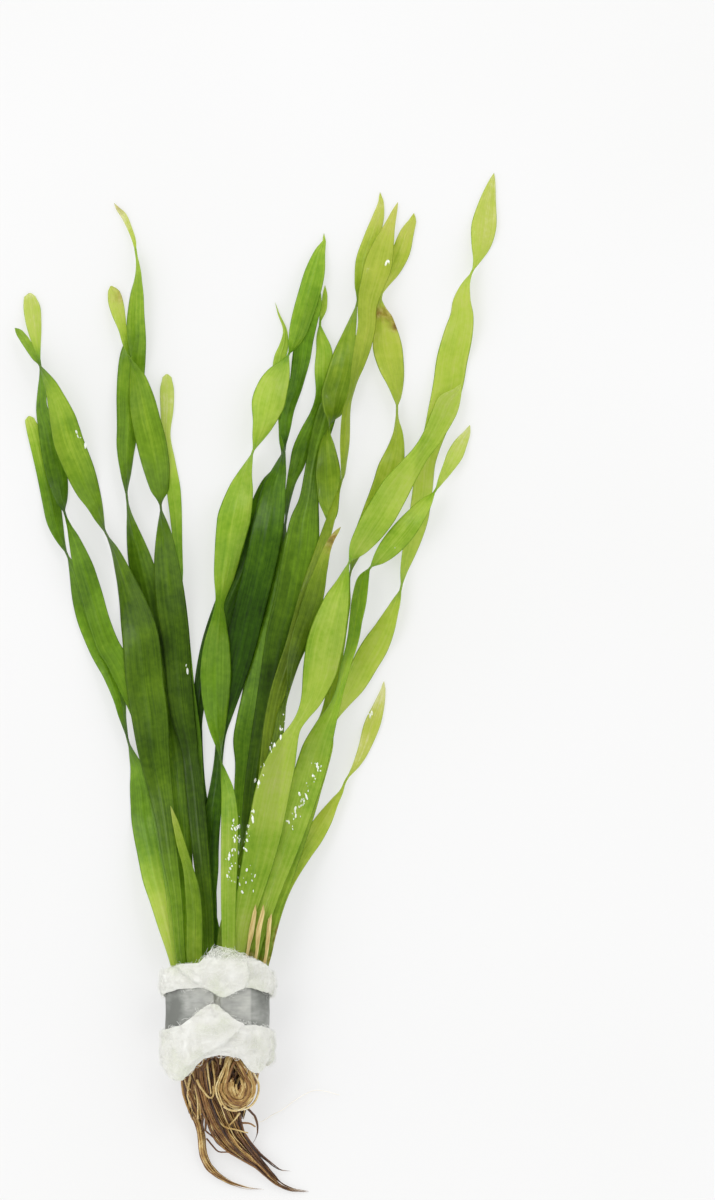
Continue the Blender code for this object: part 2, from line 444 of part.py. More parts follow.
def leaf_body(rings, height):
    """A blade with a lens-shaped section: edge, upper face, edge, lower face.

    Each of its quads is cut from its corner on the blade's edge to the next ring, on both faces alike, so
    that a thin blade doesn't pass through itself where it twists.
    """
    _, middle, half, rise = rings
    centre = np.column_stack([middle, height])
    sections = [[c + h, c + r, c - h, c - r] for c, h, r in zip(centre[:-1], half[:-1], rise[:-1])]
    points, faces = lofted(sections, tip=centre[-1])
    cut = []
    for face in faces:
        if len(face) == 4 and face[2] - face[1] == 4:
            a, b, up_b, up_a = face
            cut += [(a, b, up_b), (a, up_b, up_a)] if a % 2 == 0 else [(a, b, up_a), (b, up_b, up_a)]
        else:
            cut.append(face)
    return points, cut


def oval(angle, wide, high):
    return wide * math.cos(angle), high * math.sin(angle)


def strip_edges(angle):
    middle = STRIP_Y + STRIP_TILT * math.sin(angle)
    return middle + STRIP_WIDTH / 2, middle - STRIP_WIDTH / 2


def rim_height(table, hidden, angle, x):
    """Where a rim runs: along its table on top, at one place underneath, easing from one to the other."""
    share = min(1, max(0, 0.5 + 1.5 * math.sin(angle)))
    share = share * share * (3 - 2 * share)
    return share * float(table_at(table, x)) + (1 - share) * hidden


def wrap_section(angle):
    """One section of the wool, as (y, half width, half height): over both collars, back through the bore."""
    strip_up, strip_down = strip_edges(angle)
    over_strip = WAIST_WIDE + GAP + STRIP_THICK + GAP, WAIST_HIGH + GAP + STRIP_THICK + GAP
    flap = over_strip[0] + FLAP_THICK * 0.6, over_strip[1] + FLAP_THICK
    x = COLLAR_WIDE * math.cos(angle)
    mouth, root = (rim_height(t, h, angle, x) for t, h in zip((MOUTH_RIM, ROOT_RIM), HIDDEN_RIM))
    reach = (float(table_at(t, x)) if angle < math.pi else 0.5 for t in (UPPER_FLAP, LOWER_FLAP))
    upper, lower = next(reach), next(reach)
    bore = [(y, float(table_at(BORE_WIDE, y)), BORE_HIGH) for y in (-7.5, -12.0)]
    collar = COLLAR_HIGH if angle < math.pi else COLLAR_LOW
    swell = COLLAR_WIDE, collar
    soft = COLLAR_WIDE - 0.5, collar - 0.5
    return [
        (mouth - 1.6, float(table_at(BORE_WIDE, mouth - 1.6)) + 0.2, BORE_HIGH + 0.9),
        (mouth, COLLAR_WIDE - 0.7, BORE_HIGH + 1.6),
        (mouth - 0.9, COLLAR_WIDE - 0.15, collar - 1.1),
        (mouth - 2.6, *swell),
        (strip_up + 1.4, *swell),
        (strip_up - upper + 0.4, *soft),
        (strip_up - upper, *flap),
        (strip_up - upper, *over_strip),
        (strip_up + GAP, *over_strip),
        (strip_up + GAP, WAIST_WIDE, WAIST_HIGH),
        (strip_down - GAP, WAIST_WIDE, WAIST_HIGH),
        (strip_down - GAP, *over_strip),
        (strip_down + lower, *over_strip),
        (strip_down + lower, *flap),
        (strip_down + lower - 0.5, *soft),
        (strip_down - 1.4, COLLAR_WIDE - 0.1, collar),
        (root + 2.2, COLLAR_WIDE - 0.2, collar),
        (root + 0.7, COLLAR_WIDE - 0.5, collar - 1.2),
        (root, COLLAR_WIDE - 1.6, BORE_HIGH + 1.0),
        (root + 1.6, float(table_at(BORE_WIDE, root + 1.6)), BORE_HIGH),
        *reversed(bore),
    ]


def wool_body():
    angles = 2 * math.pi * np.arange(WRAP_SIDES) / WRAP_SIDES
    points, sides = [], 0
    for angle in angles:
        section = wrap_section(angle)
        sides = len(section)
        for y, wide, high in section:
            x, z = oval(angle, wide, high)
            points.append((x, y, max(0.0, AXIS_Z + z)))
    return points, ring_faces(WRAP_SIDES, sides)


def strip_body():
    """The strip bent round the waist of the wool, open between its two ends at the top."""
    start = math.pi / 2 + STRIP_PARTING / 2
    rings = []
    for angle in np.linspace(start, start + 2 * math.pi - STRIP_PARTING, WRAP_SIDES + 1):
        up, down = strip_edges(angle)
        ring = []
        for y, out in ((up, 0), (up, STRIP_THICK), (down, STRIP_THICK), (down, 0)):
            x, z = oval(angle, WAIST_WIDE + GAP + out, WAIST_HIGH + GAP + out)
            ring.append((x, y, AXIS_Z + z))
        rings.append(ring)
    return lofted(rings)


def crown_body(middle, wide, high):
    rings = []
    for share, swell in ((0, 0.94), (0.25, 1), (0.7, 0.95), (1, 0.75)):
        y = CROWN_Y - 2 * GAP - share * CROWN_LENGTH
        angles = 2 * math.pi * np.arange(CROWN_SIDES) / CROWN_SIDES
        around = [oval(angle, wide * swell, high * swell) for angle in angles]
        rings.append([(middle + x, y, AXIS_Z + z) for x, z in around])
    return lofted(rings)


def gathered_roots():
    """The mass of roots below the crowns, ridged lengthwise by its strands."""
    strands, rings = 11, []
    y, *columns = zip(*ROOT_MASS)
    for at in np.linspace(y[0], y[-1], 13):
        middle, wide, height, high = (float(table_at(list(zip(y, column)), at)) for column in columns)
        ring = []
        for k in range(2 * strands):
            angle = math.pi * k / strands + 0.12 * (at - y[0]) / 4
            ridge = 1.0 if k % 2 else 0.86
            x, z = oval(angle, wide * ridge, high * ridge)
            ring.append((middle + x, at, max(0.4, height + z)))
        rings.append(ring)
    return lofted(rings)


def tube_rings(path, thick, flat, sides, lowest=0.15):
    """Rings round a path, flattened to a share of their width; the points stay above the surface."""
    path = np.array(path, float)
    ahead = np.gradient(path, axis=0)
    ahead /= np.linalg.norm(ahead, axis=1)[:, None]
    rings = []
    for place, way, size in zip(path, ahead, thick):
        across = np.cross(way, (0, 0, 1))
        across /= np.linalg.norm(across)
        up = np.cross(across, way)
        ring = []
        for k in range(sides):
            angle = 2 * math.pi * k / sides
            point = place + size / 2 * (math.cos(angle) * across + flat * math.sin(angle) * up)
            ring.append((point[0], point[1], max(lowest, point[2])))
        rings.append(ring)
    return rings


def strand_body(places, flat, sides, per_place=2):
    x, y, z, thick = zip(*places)
    along = np.concatenate([[0], np.cumsum(np.hypot(np.diff(x), np.diff(y)))])
    at = np.linspace(0, along[-1], per_place * (len(places) - 1) + 1)
    path = np.column_stack([monotone(along, column, at) for column in (x, y, z)])
    size = monotone(along, thick, at)
    size = np.minimum(size, 2 * (path[:, 2] - 0.1) / flat)
    return lofted(tube_rings(path, size, flat, sides))


def coil_body():
    """A knot of long thin roots wound into a ring on top of the mass."""
    turns = 2 * math.pi * np.arange(22) / 22
    x, y, z = COIL["middle"]
    rings = []
    for angle in turns:
        out = np.array([math.cos(angle), math.sin(angle), 0])
        up = COIL["tilt"] * COIL["along"] * out[1]
        place = np.array([x + COIL["across"] * out[0], y + COIL["along"] * out[1], z + up])
        ring = [
            place + COIL["thick"] / 2 * (math.cos(a) * out + math.sin(a) * np.array([0, 0, 1.0]))
            for a in 2 * math.pi * np.arange(6) / 6
        ]
        rings.append(ring)
    points = [tuple(p) for ring in rings for p in ring]
    return points, ring_faces(len(rings), 6)


# Plain finishes: colour, roughness, metallic
FINISHES = {
    "leaf_green": ("#6f8f3c", 0.38, 0),
    "leaf_dark_green": ("#4c6a34", 0.38, 0),
    "leaf_pale_green": ("#93a258", 0.4, 0),
    "dry_sheath": ("#8f7a50", 0.7, 0),
    "wool": ("#e6e8df", 0.95, 0),
    "lead": ("#94958f", 0.55, 0.6),
    "crown": ("#c9c99a", 0.6, 0),
    "root": ("#6b5136", 0.75, 0),
}
LIGHTER_LEAVES = (
    "leaf_left_tan_tip", "leaf_left_tall", "leaf_left_outer", "leaf_left_round_tip", "leaf_middle_front",
)


def linear(code):
    """A colour written as #rrggbb, as linear values."""
    parts = (int(code[i : i + 2], 16) / 255 for i in (1, 3, 5))
    return [p / 12.92 if p <= 0.04045 else ((p + 0.055) / 1.055) ** 2.4 for p in parts]


def finish_of(name):
    if name.startswith("leaf_right"):
        return "leaf_pale_green"
    if name.startswith(LIGHTER_LEAVES):
        return "leaf_green"
    if name.startswith("leaf"):
        return "leaf_dark_green"
    return next(f for f in ("dry_sheath", "wool", "lead", "crown", "root") if name.startswith(f))


def make(name, points, faces, shift):
    mesh = bpy.data.meshes.new(name)
    mesh.from_pydata([tuple((np.array(p) - shift) * MM) for p in points], [], faces)
    shape = bmesh.new()
    shape.from_mesh(mesh)
    bmesh.ops.recalc_face_normals(shape, faces=shape.faces)
    if shape.calc_volume(signed=True) < 0:
        bmesh.ops.reverse_faces(shape, faces=shape.faces)
    shape.to_mesh(mesh)
    shape.free()
    finish = finish_of(name)
    mesh.polygons.foreach_set("use_smooth", [finish in ("wool", "crown", "root")] * len(mesh.polygons))
    colour, roughness, metallic = FINISHES[finish]
    material = bpy.data.materials.new(name)
    material.use_nodes = True
    surface = material.node_tree.nodes["Principled BSDF"]
    surface.inputs["Base Color"].default_value = (*linear(colour), 1)
    surface.inputs["Roughness"].default_value = roughness
    surface.inputs["Metallic"].default_value = metallic
    mesh.materials.append(material)
    bpy.context.scene.collection.objects.link(bpy.data.objects.new(name, mesh))


for thing in list(bpy.data.objects):
    bpy.data.objects.remove(thing)

pieces = {}
pile = Pile((-60, -32), (76, 204))
for leaf, places in LEAVES.items():
    laid = leaf_rings(places)
    pieces[leaf] = leaf_body(laid, lay(pile, laid))
for crown, sizes in CROWNS.items():
    pieces[crown] = crown_body(*sizes)
pieces["wool_wrap"] = wool_body()
pieces["lead_strip"] = strip_body()
pieces["root_mass"] = gathered_roots()
for strand, places in STRANDS.items():
    pieces[strand] = strand_body(places, FLATTENED.get(strand, 1), STRAND_SIDES[strand])
pieces["root_coil"] = coil_body()

everywhere = np.concatenate([np.array(points) for points, _ in pieces.values()])
low, high = everywhere.min(axis=0), everywhere.max(axis=0)
shift = np.array([(low[0] + high[0]) / 2, (low[1] + high[1]) / 2, low[2]])
for piece, (points, faces) in pieces.items():
    make(piece, points, faces, shift)
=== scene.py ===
"""A bunch of vallisneria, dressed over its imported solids: ribbon leaves, roots, filter wool, lead strip."""
import math

import bmesh
import bpy
import numpy as np
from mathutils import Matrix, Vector, noise
from mathutils.bvhtree import BVHTree


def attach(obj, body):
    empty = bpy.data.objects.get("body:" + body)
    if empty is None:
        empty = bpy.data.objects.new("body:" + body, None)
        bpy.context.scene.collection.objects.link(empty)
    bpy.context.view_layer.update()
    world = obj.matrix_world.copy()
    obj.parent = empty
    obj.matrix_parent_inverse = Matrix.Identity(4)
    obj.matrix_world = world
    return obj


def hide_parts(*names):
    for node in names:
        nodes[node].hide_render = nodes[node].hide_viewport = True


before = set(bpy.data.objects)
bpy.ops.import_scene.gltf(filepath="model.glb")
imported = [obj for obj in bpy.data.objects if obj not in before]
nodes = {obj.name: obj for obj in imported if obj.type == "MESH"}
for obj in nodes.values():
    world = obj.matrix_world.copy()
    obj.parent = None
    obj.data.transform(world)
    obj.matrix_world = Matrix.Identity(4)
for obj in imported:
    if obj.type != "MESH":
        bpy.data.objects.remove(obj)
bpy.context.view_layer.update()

# Crowns: the short pale stems, hidden in the wool, that leaves grow up from and roots grow down from.
# Living tissue, waxy and moist; each is its solid as it stands, with its own skin.
MM = 0.001
MATH, VECTOR = "ShaderNodeMath", "ShaderNodeVectorMath"


def linear(code):
    """An sRGB hex colour as the linear values that a shader wants."""
    parts = (int(code[i : i + 2], 16) / 255 for i in (1, 3, 5))
    return (*(p / 12.92 if p <= 0.04045 else ((p + 0.055) / 1.055) ** 2.4 for p in parts), 1.0)


def add(tree, kind, inputs=(), stops=(), **settings):
    """Adds a node with its settings, fills or links its inputs by place or name, sets the (place, hex colour)
    stops of its ramp, and returns the first output that it has in use."""
    made = tree.nodes.new(kind)
    for key, value in settings.items():
        setattr(made, key, value)
    for key, value in inputs.items() if isinstance(inputs, dict) else enumerate(inputs):
        if isinstance(value, bpy.types.NodeSocket):
            tree.links.new(value, made.inputs[key])
        else:
            made.inputs[key].default_value = value
    for _ in stops[2:]:
        made.color_ramp.elements.new(0.5)
    for element, (place, code) in zip(made.color_ramp.elements if stops else (), stops):
        element.position = place
        element.color = linear(code)
    return next((output for output in made.outputs if output.enabled), None)


def blank_finish(name):
    """A material, and its emptied node tree."""
    material = bpy.data.materials.new(name)
    material.use_nodes = True
    material.node_tree.nodes.clear()
    return material, material.node_tree


# Moist plant skin: a pale waxy surface with faint mottling.
crown_flesh, tree = blank_finish("crown_flesh")
where = add(tree, "ShaderNodeTexCoord").node.outputs["Object"]
mottle = add(tree, "ShaderNodeTexNoise", {"Vector": where, "Scale": 0.9 / MM, "Detail": 3.0})
pale = add(tree, "ShaderNodeValToRGB", [mottle], [(0.3, "#b9b98a"), (0.7, "#dcdbb4")])
skin = add(tree, "ShaderNodeBsdfPrincipled", {"Base Color": pale, "Roughness": 0.45})
add(tree, "ShaderNodeOutputMaterial", [skin])
for name in ("crown_left", "crown_middle", "crown_right"):
    nodes[name].data.materials.clear()
    nodes[name].data.materials.append(crown_flesh)


# Leaves: each a ribbon of living blade under half a millimetre thick, with lengthwise veins, that twists as
# it grows. It follows the run of its solid: the middle, width and turn are read from the solid's own rings.
MOUTH = Vector((-9.42, -68.83)) * MM  # the middle of the wool's mouth, from which heights are counted
# How yellow each blade's green is, then its (height in mm, how pale): 0 is deep green and 1 is straw.
TONES = {
    "leaf_left_broad": (0.3, [(0, 0.5), (20, 0.4), (34, 0.27), (64, 0.28), (87, 0.24), (110, 0.38),
        (128, 0.55), (141, 0.55), (147, 0.42), (157, 0.5)]),
    "leaf_left_tall": (0.25, [(0, 0.55), (20, 0.4), (70, 0.21), (84, 0.22), (110, 0.35), (134, 0.42),
        (150, 0.5), (160, 0.55), (170, 0.62), (178, 0.8), (187, 0.96)]),
    "leaf_left_tan_tip": (0.3, [(0, 0.4), (40, 0.15), (84, 0.17), (110, 0.33), (130, 0.43), (148, 0.5),
        (156, 0.68), (161, 0.82), (168, 0.88)]),
    "leaf_left_outer": (0.15, [(0, 0.85), (10, 0.8), (20, 0.65), (34, 0.45), (60, 0.4), (82, 0.42),
        (114, 0.37), (132, 0.67), (136, 0.8)]),
    "leaf_left_round_tip": (0.15, [(0, 0.8), (20, 0.55), (40, 0.4), (77, 0.42), (90, 0.4), (110, 0.33),
        (125, 0.25), (145, 0.45), (155, 0.75), (162, 0.9)]),
    "leaf_left_hidden": (0.1, [(0, 0.5), (60, 0.4), (100, 0.5), (117, 0.64), (130, 0.86), (140, 0.93),
        (146, 0.96)]),
    "leaf_left_short": (0.4, [(0, 0.55), (15, 0.4), (30, 0.6), (38, 0.85)]),
    "leaf_middle_left_dark": (0.1, [(0, 0.3), (30, 0.2), (65, 0.1), (90, 0.17), (103, 0.1), (115, 0.25),
        (130, 0.45), (145, 0.64), (164, 0.8)]),
    "leaf_middle_dark": (0.05, [(0, 0.35), (30, 0.25), (50, 0.15), (80, 0.07), (100, 0.24), (125, 0.32),
        (152, 0.38), (168, 0.7)]),
    "leaf_middle_deep": (0.15, [(0, 0.45), (40, 0.36), (72, 0.36), (92, 0.3), (115, 0.3), (135, 0.4),
        (147, 0.6), (168, 0.75)]),
    "leaf_middle_blunt": (0.25, [(0, 0.35), (50, 0.2), (75, 0.1), (87, 0.25), (105, 0.36), (127, 0.35),
        (145, 0.5)]),
    "leaf_middle_tall": (0.45, [(0, 0.45), (60, 0.4), (90, 0.5), (120, 0.45), (150, 0.52), (165, 0.6),
        (177, 0.74), (192, 0.85)]),
    "leaf_middle_slim": (0.65, [(0, 0.5), (60, 0.35), (85, 0.33), (110, 0.5), (132, 0.6), (155, 0.66),
        (181, 0.8), (190, 0.9)]),
    "leaf_middle_brown": (0.55, [(0, 0.4), (60, 0.25), (81, 0.27), (92, 0.42), (100, 0.6), (108, 0.97)]),
    "leaf_middle_far": (0.55, [(0, 0.45), (60, 0.55), (90, 0.55), (117, 0.62), (152, 0.77), (176, 0.78),
        (187, 0.85)]),
    "leaf_middle_front": (0.1, [(0, 0.7), (15, 0.68), (27, 0.65), (50, 0.5), (75, 0.45), (102, 0.57),
        (125, 0.68), (140, 0.78), (150, 0.65), (162, 0.52), (172, 0.54), (181, 0.7)]),
    "leaf_right_top": (0.3, [(0, 0.55), (32, 0.58), (47, 0.74), (77, 0.76), (115, 0.75), (147, 0.76),
        (183, 0.82), (196, 0.92)]),
    "leaf_right_middle": (0.15, [(0, 0.6), (22, 0.68), (45, 0.66), (80, 0.6), (106, 0.66), (122, 0.78),
        (133, 0.92)]),
    "leaf_right_front": (0.15, [(0, 0.75), (15, 0.66), (27, 0.62), (40, 0.76), (60, 0.72), (77, 0.68),
        (113, 0.7), (136, 0.75), (143, 0.9)]),
    "leaf_right_short": (0.45, [(0, 0.5), (20, 0.6), (30, 0.7), (35, 0.76), (57, 0.88), (69, 0.97)]),
}
WILTED = {  # how brown a blade is, at heights in mm
    "leaf_left_tan_tip": [(158, 0.0), (163, 0.3), (168, 0.35)],
    "leaf_middle_brown": [(99, 0.0), (104, 0.4), (108, 0.5)],
    "leaf_middle_far": [(152, 0.0), (158, 0.3), (161, 0.55), (164, 0.2), (168, 0.0)],
    "leaf_left_tall": [(182, 0.0), (189, 0.3)],
    "leaf_right_short": [(-5, 0.5), (7, 0.45), (13, 0.0)],
    "leaf_right_top": [(-5, 0.45), (6, 0.4), (12, 0.0)],
    "leaf_right_middle": [(-5, 0.4), (5, 0.3), (9, 0.0)],
}
# How far a blade reaches past its solid on the right, in mm, at heights in mm.
SPREAD = {"leaf_middle_dark": [(12, 0.0), (20, 1.2), (46, 1.3), (54, 0.0)]}
ROUNDED = (
    "leaf_left_hidden", "leaf_left_tan_tip", "leaf_left_round_tip", "leaf_left_outer", "leaf_middle_blunt",
)
MID_GREEN = (
    "leaf_left_tan_tip", "leaf_left_tall", "leaf_left_outer", "leaf_left_round_tip", "leaf_middle_front",
)
TIP_PARTS = (0.3, 0.55, 0.75, 0.9, 0.98)  # the places of a blade's last rings, as shares of its tip
CORNERS_APART = 1e7  # per metre: corners of a solid nearer than one over this are one point


def rings_of(node):
    """A leaf solid's rings, base to tip: rows of left edge, upper middle, right edge, lower middle."""
    places, index = {}, []
    for vertex in node.data.vertices:
        key = tuple(round(c * CORNERS_APART) for c in vertex.co)
        index.append(places.setdefault(key, len(places)))
    points = np.zeros((len(places), 3))
    for vertex, i in zip(node.data.vertices, index):
        points[i] = vertex.co
    beside = [set() for _ in points]
    for a, b in (edge.vertices for edge in node.data.edges):
        beside[index[a]].add(index[b])
        beside[index[b]].add(index[a])
    # The first ring is the lowest four points. Edge points have three neighbours ahead, middle ones have one.
    ring = set(np.argsort(points[:, 1])[:4])
    seen = set(ring)
    onward = {i: beside[i] - ring for i in ring}
    upper, lower = sorted((i for i in ring if len(onward[i]) == 1), key=lambda i: -points[i, 2])
    left, right = sorted((i for i in ring if len(onward[i]) == 3), key=lambda i: -points[i, 0])
    rows = [[left, upper, right, lower]]
    while True:
        left, upper, right, lower = rows[-1]
        step = [beside[i] - seen - {left, upper, right, lower} for i in (left, upper, right, lower)]
        if any(len(s) != n for s, n in zip(step, (3, 1, 3, 1))):
            break
        up, down = min(step[1]), min(step[3])
        rows.append([min(step[0] - {up, down}), up, min(step[2] - {up, down}), down])
        seen |= set(rows[-2])
    tip = set(range(len(points))) - seen - set(rows[-1])
    return points[np.array(rows)], points[min(tip)]


def run_mesh(name, lines, **values):
    """A mesh of polylines, each a list of points, with a value or vector stored for every point."""
    mesh = bpy.data.meshes.new(name)
    edges, first = [], 0
    for line in lines:
        edges += [(first + i, first + i + 1) for i in range(len(line) - 1)]
        first += len(line)
    mesh.from_pydata([tuple(p) for line in lines for p in line], edges, [])
    for key, value in values.items():
        value = np.asarray(value, float)
        kind, field = ("FLOAT_VECTOR", "vector") if value.ndim == 2 else ("FLOAT", "value")
        mesh.attributes.new(key, kind, "POINT").data.foreach_set(field, value.ravel())
    return mesh


def grown(name, mesh, tree, **settings):
    """What a node tree makes of a mesh, as a plain mesh object at the origin with its one finish."""
    piece = bpy.data.objects.new(name, mesh)
    bpy.context.scene.collection.objects.link(piece)
    modifier = piece.modifiers.new("grow", "NODES")
    modifier.node_group = tree
    for item in tree.interface.items_tree:
        if item.in_out == "INPUT" and item.name in settings:
            modifier[item.identifier] = settings[item.name]
    depsgraph = bpy.context.evaluated_depsgraph_get()
    made = bpy.data.meshes.new_from_object(
        piece.evaluated_get(depsgraph), preserve_all_data_layers=True, depsgraph=depsgraph
    )
    piece.modifiers.clear()
    piece.data = made
    made.name = name
    finish = made.materials[-1]
    made.materials.clear()
    made.materials.append(finish)
    made.polygons.foreach_set("material_index", [0] * len(made.polygons))
    return piece


def open_tree(name, **sizes):
    """A geometry node tree with an input for each named size, seed or finish, and those inputs."""
    tree = bpy.data.node_groups.new(name, "GeometryNodeTree")
    tree.interface.new_socket("Geometry", in_out="INPUT", socket_type="NodeSocketGeometry")
    for size, value in sizes.items():
        kind = {int: "NodeSocketInt", float: "NodeSocketFloat"}.get(type(value), "NodeSocketMaterial")
        made = tree.interface.new_socket(size, in_out="INPUT", socket_type=kind)
        if value is not None:
            made.default_value = value
    tree.interface.new_socket("Geometry", in_out="OUTPUT", socket_type="NodeSocketGeometry")
    return tree, add(tree, "NodeGroupInput").node.outputs


def close_tree(tree, geometry, finish):
    """Ends a tree: smooth faces, real geometry, and its material."""
    smooth = add(tree, "GeometryNodeSetShadeSmooth", {"Geometry": geometry})
    real = add(tree, "GeometryNodeRealizeInstances", {"Geometry": smooth})
    add(tree, "NodeGroupOutput", [
        add(tree, "GeometryNodeSetMaterial", {"Geometry": real, "Material": finish})
    ])


# The tree sweeps a flat lens section along the run: rounded margins, a raised middle rib, a rippled edge.
blade_tree, given = open_tree(
    "ribbon_blade", Points_around=36, Points_along=200, Body=0.7, Rib=0.9, Ripple=0.22 * MM,
    Ripple_run=7.0 * MM, Finish=None,
)
SECTION_POWER = 2.6  # 2 is an ellipse, and more is fuller towards the margins
RIB_FALL = -90.0  # how fast the rib dies away from the middle
tree = blade_tree
curve = add(tree, "GeometryNodeMeshToCurve", {"Mesh": given["Geometry"]})
curve = add(tree, "GeometryNodeCurveSplineType", {"Curve": curve}, spline_type="CATMULL_ROM")
curve = add(tree, "GeometryNodeSetSplineResolution", {"Geometry": curve, "Resolution": 6})
shape = add(tree, "GeometryNodeMeshCylinder", {
    "Vertices": given["Points_around"], "Side Segments": given["Points_along"], "Radius": 1.0, "Depth": 1.0,
}, fill_type="NGON")
start = add(tree, "ShaderNodeSeparateXYZ", [add(tree, "GeometryNodeInputPosition")]).node.outputs
share = add(tree, MATH, [start["Z"], 0.5], operation="ADD")
run = {}
kinds = {"side": "FLOAT_VECTOR", "rise": "FLOAT_VECTOR", "look": "FLOAT_VECTOR", "reach": "FLOAT"}
for key, kind in kinds.items():
    stored = add(tree, "GeometryNodeInputNamedAttribute", {"Name": key}, data_type=kind)
    run[key] = add(tree, "GeometryNodeSampleCurve", {"Curves": curve, "Value": stored, "Factor": share},
        mode="FACTOR", data_type=kind)
# The place across the blade runs evenly from -1 to 1 as the angle round the sleeve does.
across = add(tree, MATH, [start["X"], -1.0], operation="MAXIMUM")
across = add(tree, MATH, [add(tree, MATH, [across, 1.0], operation="MINIMUM")], operation="ARCSINE")
across = add(tree, MATH, [across, 2 / math.pi], operation="MULTIPLY")
far_out = add(tree, MATH, [across, across], operation="MULTIPLY")
# 1 on the upper face, -1 on the lower one and 0 at the two margins.
face_side = add(tree, MATH, [start["Y"], 1000.0], operation="MULTIPLY")
face_side = add(tree, MATH, [add(tree, MATH, [face_side], operation="ROUND")], operation="SIGN")
plump = add(tree, MATH, [add(tree, MATH, [across], operation="ABSOLUTE"), SECTION_POWER], operation="POWER")
plump = add(tree, MATH, [add(tree, MATH, [1.0, plump], operation="SUBTRACT")], operation="SQRT")
ridge = add(tree, MATH, [add(tree, MATH, [far_out, RIB_FALL], operation="MULTIPLY")], operation="EXPONENT")
ridge = add(tree, MATH, [given["Rib"], ridge], operation="MULTIPLY")
height = add(tree, MATH, [
    add(tree, MATH, [face_side, given["Body"]], operation="MULTIPLY"),
    add(tree, MATH, [plump, ridge], operation="ADD"),
], operation="MULTIPLY")
ripple_at = add(tree, "ShaderNodeCombineXYZ", [
    add(tree, MATH, [run["reach"], given["Ripple_run"]], operation="DIVIDE"),
    add(tree, MATH, [across, 0.8], operation="MULTIPLY"), 3.7,
])
wave = add(tree, "ShaderNodeTexNoise", {"Vector": ripple_at, "Scale": 1.0, "Detail": 1.0})
wave = add(tree, MATH, [add(tree, MATH, [wave, 0.5], operation="SUBTRACT"), 2.0], operation="MULTIPLY")
wave = add(tree, MATH, [
    wave, add(tree, MATH, [far_out, given["Ripple"]], operation="MULTIPLY"),
], operation="MULTIPLY")
upright = add(tree, VECTOR, [run["rise"]], operation="NORMALIZE")
place = run["side"].node.outputs["Position"]
for way, amount in ((run["side"], across), (run["rise"], height), (upright, wave)):
    moved = add(tree, VECTOR, {0: way, "Scale": amount}, operation="SCALE")
    place = add(tree, VECTOR, [place, moved], operation="ADD")
# What the finish reads is stored before the points move, because it is worked out from where they stand.
spot = add(tree, "ShaderNodeCombineXYZ", [run["reach"], across, face_side])
for key, value in (("blade_place", spot), ("blade_look", run["look"])):
    shape = add(tree, "GeometryNodeStoreNamedAttribute", {"Geometry": shape, "Name": key, "Value": value},
        data_type="FLOAT_VECTOR")
shape = add(tree, "GeometryNodeSetPosition", {"Geometry": shape, "Position": place})
# The run's side and rise are left-handed, so the sleeve comes out reversed.
shape = add(tree, "GeometryNodeFlipFaces", {"Mesh": shape})
close_tree(tree, shape, given["Finish"])

# Living leaf: green pigment paling with age, fine lengthwise veins, a wet cuticle that glints, and enough
# light passing through to lift its shaded side.
leaf_blade, tree = blank_finish("leaf_blade_wet")
look, spot = (
    add(tree, "ShaderNodeSeparateXYZ", [
        add(tree, "ShaderNodeAttribute", attribute_name=name).node.outputs["Vector"]
    ]).node.outputs
    for name in ("blade_look", "blade_place")
)
where = add(tree, "ShaderNodeTexCoord").node.outputs["Object"]
reach_mm = add(tree, MATH, [spot["X"], MM], operation="DIVIDE")
streak_at = add(tree, "ShaderNodeCombineXYZ", [
    add(tree, MATH, [reach_mm, 26.0], operation="DIVIDE"),
    add(tree, MATH, [spot["Y"], 6.0], operation="MULTIPLY"),
    add(tree, MATH, [look["Y"], 20.0], operation="MULTIPLY"),
])
streak = add(tree, "ShaderNodeTexNoise", {"Vector": streak_at, "Scale": 1.0, "Detail": 4.0, "Roughness": 0.6})
blotch = add(tree, "ShaderNodeTexNoise", {"Vector": where, "Scale": 0.11 / MM, "Detail": 4.0})
fleck = add(tree, "ShaderNodeTexNoise", {"Vector": where, "Scale": 0.8 / MM, "Detail": 2.0})
# Seven main veins: a thin line wherever the place across the blade is a multiple of a third.
thirds = add(tree, MATH, [spot["Y"], 3.0], operation="MULTIPLY")
beside_vein = add(tree, MATH, [thirds, 0.5], operation="PINGPONG")
off_middle = add(tree, MATH, [spot["Y"]], operation="ABSOLUTE")
vein, middle, margin = (
    add(tree, "ShaderNodeMapRange", [off, *span], interpolation_type="SMOOTHSTEP")
    for off, *span in (
        (beside_vein, 0.02, 0.12, 1.0, 0.0), (off_middle, 0.03, 0.13, 1.0, 0.0),
        (off_middle, 0.93, 1.0, 0.0, 1.0),
    )
)
tone = look["X"]
for pattern, strength in ((streak, 0.4), (blotch, 0.42), (fleck, 0.2)):
    swing = add(tree, MATH, [pattern, 0.5], operation="SUBTRACT")
    tone = add(tree, MATH, [swing, strength, tone], operation="MULTIPLY_ADD")
